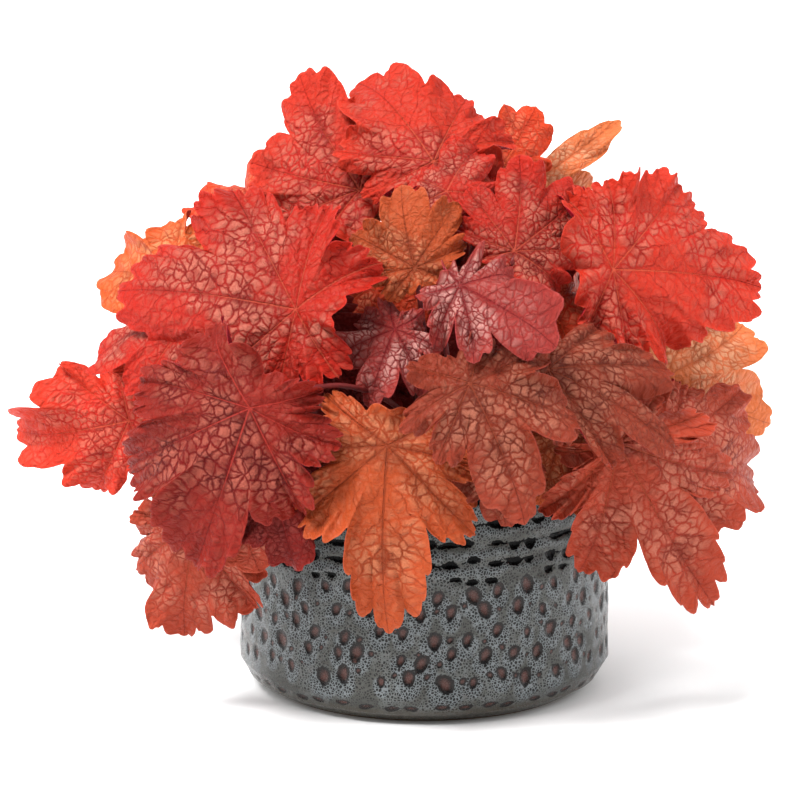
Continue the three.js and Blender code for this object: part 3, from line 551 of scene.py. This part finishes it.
class Leaf:
    """One leaf: its place and facing as in the frame, its form, and its blade's surface."""

    def __init__(self, name, colour, place, azimuth, elevation, turn, length, form, seed):
        self.name, self.colour, self.seed, self.length = name, colour, seed, length
        self.place = np.array(place, float)
        self.width, self.spread, self.fold, self.droop, self.wave = form
        self.facing = direction(azimuth, elevation)
        up = unit(np.array([0, 0, 1]) - self.facing * self.facing[2])
        right = np.cross(up, self.facing)
        turn = math.radians(turn)
        self.tip = unit(up * math.cos(turn) + right * math.sin(turn))
        self.side = np.cross(self.facing, self.tip)
        own = LOBES.get(seed)
        self.lobes = len(own) - 1 if own else 7 if length >= SEVEN_LOBES_FROM else 5
        self.step = own[0] if own else 48 if self.lobes == 7 else 66
        self.reaches = np.array(own[1:]) if own else self.usual_reaches()
        self.cut = CUTS.get(seed, 0.24 + 0.1 * draw(1, seed))
        self.taper = 3.6 - 4 * self.cut
        self.teeth = by_size(length, 5, 3, 2)
        self.edge = self.lobes * self.step / 2

    def usual_reaches(self):
        """How far each lobe reaches on a leaf that has no reaches of its own."""
        number = np.arange(self.lobes)
        bearing = (number - (self.lobes - 1) / 2) * self.step
        swell = 1 + 0.26 * (draw(number + 7, self.seed) - 0.5)
        return swell * np.exp(-((np.abs(bearing) / self.spread) ** 1.35))

    def lobe_of(self, bearing):
        """The lobe at a bearing, 0 for the middle one, and the share of the way to its edge."""
        half = (self.lobes - 1) / 2
        lobe = np.clip(np.round(bearing / self.step), -half, half)
        return lobe, np.minimum(1, np.abs(bearing - lobe * self.step) / (self.step / 2))

    def reach(self, bearing, fine):
        """How far the margin reaches at a bearing, as a share of the leaf's length."""
        lobe, share = self.lobe_of(bearing)
        place = (lobe + (self.lobes - 1) / 2).astype(int)
        own = self.reaches[place]
        beside = place + np.where(bearing > lobe * self.step, 1, -1)
        inside = (beside >= 0) & (beside < self.lobes)
        beyond = np.where(inside, self.reaches[np.clip(beside, 0, self.lobes - 1)], own * 0.8)
        envelope = own + ((own + beyond) / 2 - own) * share**2
        turn = math.pi * share
        cut = self.cut + (DEEPER.get(self.seed, 0) if fine else 0)
        out = envelope * (1 - cut * share**self.taper)
        if not fine:
            return out * (1 - TOOTH * (1 - np.abs(np.cos(self.teeth / 2 * turn))))
        count = 2.5 if self.teeth == 5 else 1.5
        lean = 0.5 * (draw(lobe + 50, self.seed) - 0.5)
        out = out * toothed(count * turn + lean, *SCALLOPS)
        return out * toothed(2 * count * turn + 2 * lean + 0.7, *SMALL_TEETH)

    def ripple(self, bearing, count, key, carried=0):
        """A wave round the blade, this many in a full circle, shifted from leaf to leaf."""
        return np.sin(np.radians(bearing * count) + self.seed * key + carried)

    def surface(self, bearing, share, fine=True):
        """Points of the middle surface, their flat places and their places among the veins."""
        size = self.length
        inside = np.clip(bearing, -self.edge, self.edge)
        swing = LOBE_SWING * self.ripple(inside, 2.3, 6.28)
        curl = LOBE_SWING * share**2 * self.ripple(inside, 1.9, 3.3)
        past = smooth(0, 180 - self.edge, np.abs(bearing) - self.edge)
        fall, heel = (past**1.4, HEEL) if fine else (past, FRAME_HEEL)
        reach = self.reach(inside, fine) * (1 - fall) + heel * past
        angle = np.radians(bearing + (swing + curl) * (1 - past))
        radius = share * reach * size
        flat_x = radius * np.cos(angle)
        flat_y = radius * np.sin(angle) * self.width
        # places along and across the nearest primary vein, and among its branches
        lobe, in_lobe = self.lobe_of(inside)
        off = np.radians(bearing - lobe * self.step)
        along = radius * np.cos(off)
        across = np.abs(radius * np.sin(off))
        spacing = VEIN_SPACING * size
        phase = (along - VEIN_LEAN * across - 0.012 * across**2) / spacing
        # the form shared with the frame, but for deeper pleats
        sunk = (0.03 * share + 0.035 * share**3) * (1.5 if fine else 1)
        pleat = -sunk * (1 + np.cos(math.pi * in_lobe)) / 2
        scallop = -0.018 * share**4 * np.cos(self.teeth * math.pi * in_lobe) * (1 - past)
        first = self.ripple(bearing, 5, 2.1)
        second = self.ripple(bearing, 9, 4.7)
        relief = size * (pleat + scallop + self.wave * share**3 * (first + 0.7 * second))
        if fine:
            near = np.abs(phase % 1 - 0.5) * spacing * 0.65
            puff = 1 - np.exp(-((np.minimum(near, across) / PUFF_WIDTH) ** 2))
            relief = relief + PUFF * (puff - 0.5) * smooth(0.1, 0.35, share)
            third = self.ripple(bearing, 11, 1.3, first)
            fourth = self.ripple(bearing, 19, 2.9, 2 * third)
            rim = smooth(0.6, 1.0, share) * (1 - past)
            tight = smooth(0.7, 1.0, share) * (1 - past)
            ruffles = RUFFLE * third * rim + CRIMP * fourth * tight
            relief = relief + ruffles * min(1, size / FULL_RUFFLE_FROM)
        y, lift = bend(flat_y, relief, math.radians(self.fold) / (0.8 * size))
        x, z = bend(flat_x, lift, math.radians(self.droop) / size)
        points = self.place + x[..., None] * self.tip + y[..., None] * self.side
        points = points + z[..., None] * self.facing
        flat = radius * np.cos(np.radians(bearing)), radius * np.sin(np.radians(bearing))
        return points, flat, (along, across, phase)


def node_points(node):
    """A frame node's own corners in millimetres, each once, and which are joined by an edge."""
    mesh = frame["nodes"][node].data
    points = np.empty(len(mesh.vertices) * 3, np.float32)
    mesh.vertices.foreach_get("co", points)
    points = points.reshape(-1, 3).astype(float) / MM
    corners, where = np.unique(np.round(points, 2), axis=0, return_inverse=True)
    edges = np.empty(len(mesh.edges) * 2, np.int32)
    mesh.edges.foreach_get("vertices", edges)
    return corners, where.ravel()[edges.reshape(-1, 2)]


def settle(leaf, way, corners):
    """Moves the leaf to where it was laid in the frame, a whole number of steps along its way."""
    bearing = np.linspace(-leaf.edge, leaf.edge, leaf.lobes * 2 * leaf.teeth + 1)[2:-2:3]
    points = leaf.surface(bearing, np.ones_like(bearing), False)[0]
    best = None
    for step in range(MOST_STEPS):
        moved = points + way * (SETTLE_STEP * step)
        gaps = np.linalg.norm(moved[:, None] - corners[None], axis=2).min(axis=1)
        if best is None or gaps.mean() < best[0]:
            best = gaps.mean(), step
    leaf.place = leaf.place + way * (SETTLE_STEP * best[1])


def stalk_line(corners, edges):
    """The middle of each ring of the stalk, from its foot in the crown to the blade."""
    crown = np.array([0, 0, CROWN_HEIGHT])
    ring = np.argsort(np.linalg.norm(corners - crown, axis=1))[:STALK_CORNERS]
    seen, line = set(), []
    while len(ring) == STALK_CORNERS:
        line.append(corners[ring].mean(axis=0))
        seen.update(ring.tolist())
        near = edges[np.isin(edges, ring).any(axis=1)].ravel()
        ring = np.array(sorted(set(near.tolist()) - seen))
    return np.array(line)


def smooth_line(line, count):
    """A smooth line through the points, with the same spacing along all of it."""
    ends = np.vstack([2 * line[0] - line[1], line, 2 * line[-1] - line[-2]])
    t = np.linspace(0, 1, SPAN_POINTS, endpoint=False)[:, None]
    dense = []
    for i in range(1, len(ends) - 2):
        a, b, c, d = ends[i - 1: i + 3]
        dense.append(0.5 * (2 * b + (c - a) * t + (2 * a - 5 * b + 4 * c - d) * t**2
                            + (3 * b - a - 3 * c + d) * t**3))
    dense = np.vstack([*dense, line[-1:]])
    length = np.concatenate([[0], np.cumsum(np.linalg.norm(np.diff(dense, axis=0), axis=1))])
    at = np.linspace(0, length[-1], count)
    return np.stack([np.interp(at, length, dense[:, i]) for i in range(3)], axis=1)


def stalk_mesh(line):
    """A round tapering stalk that widens into the blade, as points, faces and share along."""
    whole = np.linalg.norm(np.diff(line, axis=0), axis=1).sum()
    count = max(12, int(whole / STALK_RING_GAP))
    path = smooth_line(line, count)
    path[-1] += unit(path[-2] - path[-1])
    tangent = np.gradient(path, axis=0)
    tangent /= np.linalg.norm(tangent, axis=1)[:, None]
    points, across = [], unit(np.cross([0.3, 0.5, 0.8], tangent[0]))
    turn = full_turn(STALK_SIDES)
    for i, (place, ahead) in enumerate(zip(path, tangent)):
        across = unit(across - ahead * (across @ ahead))
        other = np.cross(ahead, across)
        share = i / (count - 1)
        radius = STALK_FOOT + (STALK_TOP - STALK_FOOT) * share
        radius += STALK_FLARE * smooth(0.94, 1.0, share)
        radius *= 0.4 if share == 1 else 1  # the last ring hides behind the blade
        ring = np.cos(turn)[:, None] * across + np.sin(turn)[:, None] * other
        points.append(place + radius * ring)
    faces = []
    for i in range(count - 1):
        faces += strip(i * STALK_SIDES, (i + 1) * STALK_SIDES, STALK_SIDES)
    faces.append(tuple(reversed(range(STALK_SIDES))))
    faces.append(tuple((count - 1) * STALK_SIDES + k for k in range(STALK_SIDES)))
    return np.vstack(points), faces, np.repeat(np.linspace(0, 1, count), STALK_SIDES)


def grid_normals(points, middle):
    """The upper side's way out at each point of a round grid about a middle point."""
    ahead = np.roll(points, -1, axis=1) - np.roll(points, 1, axis=1)
    inner = np.concatenate([np.broadcast_to(middle, points[:1].shape), points[:-1]])
    outer = np.concatenate([points[1:], 2 * points[-1:] - points[-2:-1]])
    normal = np.cross(outer - inner, ahead)
    return normal / (np.linalg.norm(normal, axis=2)[..., None] + 1e-9)


def underside_sag(points, normal, kept):
    """How much lower the underside lies at its fewer rows, so it doesn't cut through the blade."""
    sag = np.zeros(points.shape[:2])
    for a, b in zip(kept, kept[1:]):
        for i in range(a + 1, b):
            chord = points[a] + (points[b] - points[a]) * (i - a) / (b - a)
            above = np.einsum("ij,ij->i", chord - points[i], normal[i])
            for k in (a, b):
                sag[k] = np.maximum(sag[k], np.minimum(above, MOST_SAG))
    return sag


def blade_mesh(leaf):
    """The blade as a thin closed body on a round grid: points, faces and what the finish needs."""
    per_half = by_size(leaf.length, 27, 20, 13)
    rows = by_size(leaf.length, 22, 16, 11)
    heel = per_half // 2
    bearing = np.linspace(-leaf.edge, leaf.edge, leaf.lobes * 2 * per_half + 1)
    past = np.linspace(leaf.edge, 360 - leaf.edge, 2 * heel + 1)[1:-1]
    bearing = np.concatenate([bearing, np.where(past > 180, past - 360, past)])
    columns = len(bearing)
    shares = np.concatenate([np.linspace(0.05, 0.92, rows), RIM_SHARES])
    grid_b, grid_s = np.meshgrid(bearing, shares)
    points, flat, veins = leaf.surface(grid_b, grid_s)
    middle = leaf.surface(np.zeros(1), np.zeros(1))[0]
    normal = grid_normals(points, middle)
    thick = BLADE_THICKNESS + (MARGIN_THICKNESS - BLADE_THICKNESS) * smooth(0.7, 1, shares)
    half = thick[:, None, None] / 2
    upper = points + normal * half
    kept = sorted({*range(0, rows, 3), rows - 1, rows, rows + 3})
    lower = (points - normal * (half + underside_sag(points, normal, kept)[..., None]))[kept]
    out = points[-1] - points[-2]
    rim = points[-1] + RIM_OUT * out / (np.linalg.norm(out, axis=1)[:, None] + 1e-9)
    heart = normal[0].mean(axis=0) * BLADE_THICKNESS / 2
    all_points = np.vstack([middle + heart, upper.reshape(-1, 3), rim,
                            lower.reshape(-1, 3), middle - heart])
    # rings of points from the middle of the upper side, over the rim, to that of the underside
    under = 1 + (len(shares) + 1) * columns
    last = under + len(kept) * columns
    rings = [1 + k * columns for k in range(len(shares) + 1)]
    rings += [under + k * columns for k in reversed(range(len(kept)))]
    faces = [(0, 1 + i, 1 + (i + 1) % columns) for i in range(columns)]
    for ring, beyond in zip(rings, rings[1:]):
        faces += strip(beyond, ring, columns)
    faces += [(last, under + (i + 1) % columns, under + i) for i in range(columns)]

    def on_all(values):
        return np.concatenate([[0], values.ravel(), values[-1], values[kept].ravel(), [0]])

    zero = np.zeros(under - columns)
    attributes = {
        "flat": np.stack([on_all(flat[0]), on_all(flat[1]), np.zeros(last + 1)], axis=1),
        "veins": np.stack([on_all(v) for v in veins], axis=1),
        "share": on_all(grid_s),
        "under": np.concatenate([zero, np.full(columns, 0.3), np.ones(last + 1 - under)]),
    }
    return all_points, faces, attributes


def make_leaf(leaf, way, stalk_finish):
    corners, edges = node_points(leaf.name)
    settle(leaf, way, corners)
    finish = OWN_FINISH.get(leaf.seed, SLOT_FINISH[leaf.colour])
    material = leaf_material(f"blade_{leaf.name[-2:]}", finish, leaf.seed, leaf.length)
    points, faces, attributes = blade_mesh(leaf)
    stalk, stalk_faces, along = stalk_mesh(stalk_line(corners, edges))
    first, blade_faces = len(points), len(faces)
    faces += [tuple(first + i for i in face) for face in stalk_faces]
    for key, values in attributes.items():
        extra = np.zeros((len(stalk), 3)) if values.ndim == 2 else np.zeros(len(stalk))
        attributes[key] = np.concatenate([values, extra])
    attributes["along"] = np.concatenate([np.ones(first), along])
    points = np.vstack([points, stalk])
    piece = make_piece(f"fine_{leaf.name}", points, faces, material, attributes)
    piece.data.materials.append(stalk_finish)
    slots = np.zeros(len(faces), np.int32)
    slots[blade_faces:] = 1
    piece.data.polygons.foreach_set("material_index", slots)
    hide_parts(leaf.name)


def make_leaves():
    stalk_finish = stalk_material()
    for i, row in enumerate(FRONT_LEAVES):
        place = np.array(row[1:4], float)
        leaf = Leaf(f"leaf_{i + 1:02d}", row[0], place, *row[4:8], row[8:], i + 1)
        make_leaf(leaf, unit(STACK_POINT - place), stalk_finish)
    for i, (azimuth, rise, far, tilt, turn, length, colour) in enumerate(BACK_LEAVES):
        seed = 41 + i
        form = [0.95, 160, 15 + 15 * draw(6, seed), 15 + 10 * draw(7, seed), 0.065]
        place = MOUND + far * direction(azimuth, rise)
        number = len(FRONT_LEAVES) + i + 1
        leaf = Leaf(f"leaf_{number:02d}", colour, place, azimuth, tilt, turn, length, form, seed)
        make_leaf(leaf, leaf.facing, stalk_finish)


# ---- the pot ----
RINGS = [(107, 1.0), (96.5, 1.0), (87, 1.0), (79, 0.9), (71, 0.3)]
DENT_ROWS = [23.5, 34, 44.5, 55, 65]
DENTS_ROUND = 38
FOOT_DENTS_ROUND = 46
CREVICES_ROUND = 52
POT_COLUMNS = 560


def dent_list():
    """The pressed dents: turn round the pot, height, half width, half height, depth."""
    dents = []
    step = 2 * math.pi / DENTS_ROUND
    for row, height in enumerate(DENT_ROWS):
        for i in range(DENTS_ROUND):
            key = i + 100 * row
            turn = (i + 0.5 * (row % 2) + 0.45 * (draw(key, 6) - 0.5)) * step
            z = height + 5 * (draw(key, 7) - 0.5)
            size = 0.74 + 0.5 * draw(key, 8)
            narrow = 0.8 + 0.35 * draw(key, 9)
            dents.append((turn, z, 3.15 * size * narrow, 4.1 * size, 1.15 * size))
            if draw(key, 10) > 0.35:
                small = 0.3 + 0.25 * draw(key, 13)
                aside = turn + (0.42 + 0.16 * draw(key, 14)) * step
                beside = z + 7 * (draw(key, 15) - 0.5)
                dents.append((aside, beside, 3.4 * small, 3.6 * small, 0.9 * small))
    for i in range(FOOT_DENTS_ROUND):
        turn = (i + 0.4 * (draw(i, 11) - 0.5)) * 2 * math.pi / FOOT_DENTS_ROUND
        dents.append((turn, 8.6 + 1.6 * draw(i, 12), 3.8, 1.6, 0.7))
    return dents


def crevice_list():
    """The short crevices along each throwing ring, painted black as shade and as reflection of the
    leaves above: turn, height, half width, half height.
    """
    crevices = []
    for row, (height, strength) in enumerate(RINGS):
        for i in range(CREVICES_ROUND):
            key = i + 100 * row
            if draw(key, 23) > 0.35 + 0.6 * strength:
                continue
            turn = (i + 0.6 * (draw(key, 20) - 0.5)) * 2 * math.pi / CREVICES_ROUND
            z = height + 3.0 * (draw(key, 21) - 0.5)
            wide = 2.8 + 3.4 * draw(key, 22) * strength
            crevices.append((turn, z, wide, 1.3 + 1.7 * draw(key, 24) ** 2 * strength))
    return crevices


def pot_profile():
    """The pot's outline from under its foot, over the lip, to the floor inside, and which of its
    points are on the wall's outside or the bevel under it."""
    sole = [(FOOT_RADIUS * s, 0.0) for s in (0.25, 0.5, 0.75, 0.94)]
    up, turns = np.linspace(0, 1, 15), [0, 0.5, 1]
    bevel = zip(np.interp(up, turns, [FOOT_RADIUS, BEVEL_MIDDLE[0], POT_RADIUS]),
                np.interp(up, turns, [0, BEVEL_MIDDLE[1], BEVEL_HEIGHT]))
    wall = [(POT_RADIUS, z) for z in np.arange(BEVEL_HEIGHT + 1.0, 113.0, 1.0)]
    lip = [(POT_RADIUS - 0.2, 113.4), (POT_RADIUS - 0.8, 114.8), (POT_RADIUS - 2, 115.7),
           (POT_RADIUS - 3, POT_HEIGHT), (POT_RADIUS - 4.2, 115.6), (POT_RADIUS - 5.4, 114.6),
           (POT_RADIUS - WALL, 113.0)]
    inner = [(POT_RADIUS - WALL, z) for z in (108, 104, 80, 40, FLOOR)]
    bottom = [(s * (POT_RADIUS - WALL), FLOOR) for s in (0.6, 0.2)]
    profile = np.array([*sole, *bevel, *wall, *lip, *inner, *bottom])
    outside = np.zeros((len(profile), 1))
    outside[len(sole):len(sole) + len(up) + len(wall)] = 1
    return profile, outside


def near_turn(turn, middle, half_width, within):
    """Which columns are near a turn, and how many half widths each is away from it."""
    off = (turn - middle + math.pi) % (2 * math.pi) - math.pi
    near = np.abs(off) < within
    return near, (off[near] * POT_RADIUS / half_width)[None]


def pot_relief(turn, height):
    """How far the wall is pushed out at each turn and height, and what the glaze needs to know:
    the dents, their lower parts where shade is painted, the pooled glaze, and the crevices and
    rings where shade and reflection are painted."""
    dent, low, pool, ring, push = (np.zeros_like(height) for _ in range(5))
    for t, z, half_width, half_height, depth in dent_list():
        near, x = near_turn(turn, t, half_width, 0.16)
        y = (height[:, near] - z) / half_height
        skew = x + 0.3 * y * math.sin(z + 9 * t)
        away = np.sqrt((skew * (1 - 0.22 * y)) ** 2 + y**2)
        inside = 1.6 - away
        lower = -y * smooth(0.4, 0.7, inside)
        low[:, near] = np.where(inside > dent[:, near], lower, low[:, near])
        dent[:, near] = np.maximum(dent[:, near], inside)
        push[:, near] = np.minimum(push[:, near], -depth * smooth(1.35, 0.1, away))
        if z > BEVEL_HEIGHT and half_height > 2:
            below = np.sqrt((x / 1.9) ** 2 + ((y + 0.6) / 1.7) ** 2)
            halo = smooth(1.25, 0.7, below) * smooth(1.3, -0.6, y)
            pool[:, near] = np.maximum(pool[:, near], halo)
    for t, z, half_width, half_height in crevice_list():
        near, x = near_turn(turn, t, half_width, 0.1)
        arch = z + 1.2 * (x**2 - 0.5) * math.sin(5 * t)
        away = np.sqrt(x**2 + ((height[:, near] - arch) / half_height) ** 2)
        ring[:, near] = np.maximum(ring[:, near], 0.95 * smooth(1.5, 0.5, away))
        push[:, near] = np.minimum(push[:, near], -1.2 * smooth(1.5, 0.2, away))
    for i, (z, strength) in enumerate(RINGS):
        wavy = z + 0.9 * np.sin(turn * (5 + i) + i) + 0.6 * np.sin(turn * (17 + 3 * i) + 2 * i)
        broken = smooth(0.2, 0.6, 0.5 + 0.5 * np.sin(turn * (9 + 3 * i) + 3 * i))
        off = height - wavy
        ring = np.maximum(ring, 0.7 * strength * np.exp(-((off / 0.9) ** 2)) * broken)
        push = push - 0.45 * strength * np.exp(-((off / 2.4) ** 2))
        pool = np.maximum(pool, 0.5 * strength * np.exp(-(((off + 3.5) / 2.0) ** 2)))
    return push, {"dent": dent, "pool": pool, "low": low, "ring": ring}


def make_pot():
    turn = full_turn(POT_COLUMNS)
    profile, outside = pot_profile()
    radius = np.repeat(profile[:, :1], POT_COLUMNS, axis=1)
    height = np.repeat(profile[:, 1:], POT_COLUMNS, axis=1)
    push, marks = pot_relief(turn, height)
    uneven = 0.25 * np.sin(3 * turn + 0.08 * height) + 0.2 * np.sin(13 * turn + 0.21 * height)
    uneven = uneven + 0.16 * np.sin(29 * turn - 0.34 * height) * np.sin(0.37 * height + 5 * turn)
    radius = radius + outside * (push + uneven - 0.2) * smooth(2, 6, height)
    points = np.stack([radius * np.cos(turn), radius * np.sin(turn), height], axis=2)
    points = np.vstack([[[0, 0, 0]], points.reshape(-1, 3), [[0, 0, FLOOR]]])

    def on_all(values, centre=0.0):
        return np.concatenate([[centre], values.ravel(), [centre]])

    attributes = {name: on_all(values * outside) for name, values in marks.items()}
    foot = smooth(13, 4, height) + smooth(1.3, 0.5, height) * 1.2
    attributes["foot"] = on_all(foot * smooth(60, 70, radius), 1.8)
    piece = make_piece("fine_pot", points, round_faces(len(profile), POT_COLUMNS),
                       glaze_material(), attributes)
    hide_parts("pot")


# ---- soil and crown ----
def lumps(x, y):
    """Lumps of four sizes, in millimetres up or down."""
    total = 0
    for i, size in enumerate((23.0, 11.0, 5.0, 2.6)):
        a, b = 6.28 * draw(i, 31), 6.28 * draw(i, 32)
        ridge = np.sin(x * 6.28 / size + a + 1.3 * np.sin(y * 4 / size))
        total = total + size * 0.045 * ridge \
            * np.sin(y * 6.28 / size + b + 1.1 * np.sin(x * 5 / size))
    return total


def make_soil():
    columns, rows = 160, 40
    turn = full_turn(columns)
    out = SOIL_RADIUS * np.linspace(1, 0.02, rows)[:, None]
    x, y = out * np.cos(turn), out * np.sin(turn)
    z = SOIL_TOP + 0.4 + 0.6 * smooth(80, 10, np.hypot(x, y)) + lumps(x, y)
    low = FLOOR + SOIL_GAP
    rim = np.stack([x[0], y[0], np.full(columns, low)], axis=1)
    points = np.vstack([[[0, 0, low]], rim, np.stack([x, y, z], axis=2).reshape(-1, 3),
                        [[0, 0, z[-1].mean()]]])
    piece = make_piece("fine_soil", points, round_faces(rows + 1, columns), soil_material())
    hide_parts("soil")


def make_crown():
    columns, rows = 96, 48
    turn = full_turn(columns)[None]
    rise = np.radians(np.linspace(-60, 86, rows))[:, None]
    knobs = 1.1 * np.sin(5 * turn + 3 * rise) * np.cos(4 * rise)
    knobs = knobs + 0.6 * np.sin(11 * turn - 7 * rise)
    radius = CROWN_RADIUS - 0.6 + knobs + 0.35 * np.sin(29 * turn + 19 * rise)
    points = np.stack([radius * np.cos(rise) * np.cos(turn), radius * np.cos(rise) * np.sin(turn),
                       CROWN_HEIGHT + radius * np.sin(rise)], axis=2).reshape(-1, 3)
    points = np.vstack([[[0, 0, CROWN_HEIGHT - CROWN_RADIUS * 0.9]], points,
                        [[0, 0, CROWN_HEIGHT + CROWN_RADIUS - 0.6]]])
    piece = make_piece("fine_crown", points, round_faces(rows, columns), crown_material())
    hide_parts("crown")


# ---- studio ----
CAMERA_PLACE = Vector((-0.0117, -1.5695, 0.4494))
CAMERA_TARGET = Vector((-0.0117, 0.0, 0.1386))
LENS = 149
FLOOR_HALF = 12.0
WINDOW_TARGET = Vector((0, 0, 0.12))
WINDOW_WATTS = 9
SUN_WAY = Vector((0.36, 0.44, -0.82))
SUN_STRENGTH = 4.7
SUN_WIDTH = 22


def put(name, data, place, way):
    """Puts a camera or a lamp at a place, looking along a way."""
    thing = bpy.data.objects.new(name, data)
    thing.location = place
    thing.rotation_mode = "QUATERNION"
    thing.rotation_quaternion = way.to_track_quat("-Z", "Y")
    bpy.context.scene.collection.objects.link(thing)
    return thing


def make_camera():
    camera = bpy.data.cameras.new("camera")
    camera.lens, camera.sensor_width = LENS, 36
    camera.clip_start, camera.clip_end = 0.01, 50
    eye = put("camera", camera, CAMERA_PLACE, CAMERA_TARGET - CAMERA_PLACE)
    bpy.context.scene.camera = eye


def make_floor():
    paper = Paint(bpy.data.materials.new("studio_paper"))
    shader = paper.add("ShaderNodeBsdfPrincipled", {
        "Base Color": (0.94, 0.94, 0.94, 1), "Roughness": 0.75, "Specular IOR Level": 0.2})
    mesh = bpy.data.meshes.new("studio_floor")
    corners = [(x * FLOOR_HALF, y * FLOOR_HALF, 0) for x, y in ((-1, -1), (1, -1), (1, 1), (-1, 1))]
    mesh.from_pydata(corners, [], [(0, 1, 2, 3)])
    mesh.materials.append(paper.finish(shader))
    floor = bpy.data.objects.new("studio_floor", mesh)
    bpy.context.scene.collection.objects.link(floor)


def make_air():
    """Soft light from all round, brightest overhead and behind, dim where the viewer stands."""
    world = bpy.data.worlds.new("studio_air")
    air = Paint(world)
    x, y, z = air.parts(air.add("ShaderNodeTexCoord", output="Generated"))
    above = air.ramp(z, -0.1, 1.0, 0.06, 1.2)
    behind = air.ramp(y, 0.0, 0.8, 0.0, 0.55)
    light = air.add("ShaderNodeBackground", {
        "Color": (1, 1, 1, 1), "Strength": air.math("ADD", above, behind)})
    air.add("ShaderNodeOutputWorld", {"Surface": light})
    bpy.context.scene.world = world
    bpy.context.scene.view_settings.view_transform = "Standard"


def make_lamps():
    sun = bpy.data.lights.new("daylight", "SUN")
    sun.energy = SUN_STRENGTH
    sun.angle = math.radians(SUN_WIDTH)
    put("daylight", sun, (0, 0, 0), SUN_WAY)
    for name, side in (("left_window", -1.3), ("right_window", 1.3)):
        window = bpy.data.lights.new(name, "AREA")
        window.shape = "RECTANGLE"
        window.size, window.size_y = 0.5, 1.2
        window.energy = WINDOW_WATTS
        place = Vector((side, -0.2, 0.7))
        put(name, window, place, WINDOW_TARGET - place)


make_pot()
make_soil()
make_crown()
make_leaves()
make_camera()
make_floor()
make_air()
make_lamps()
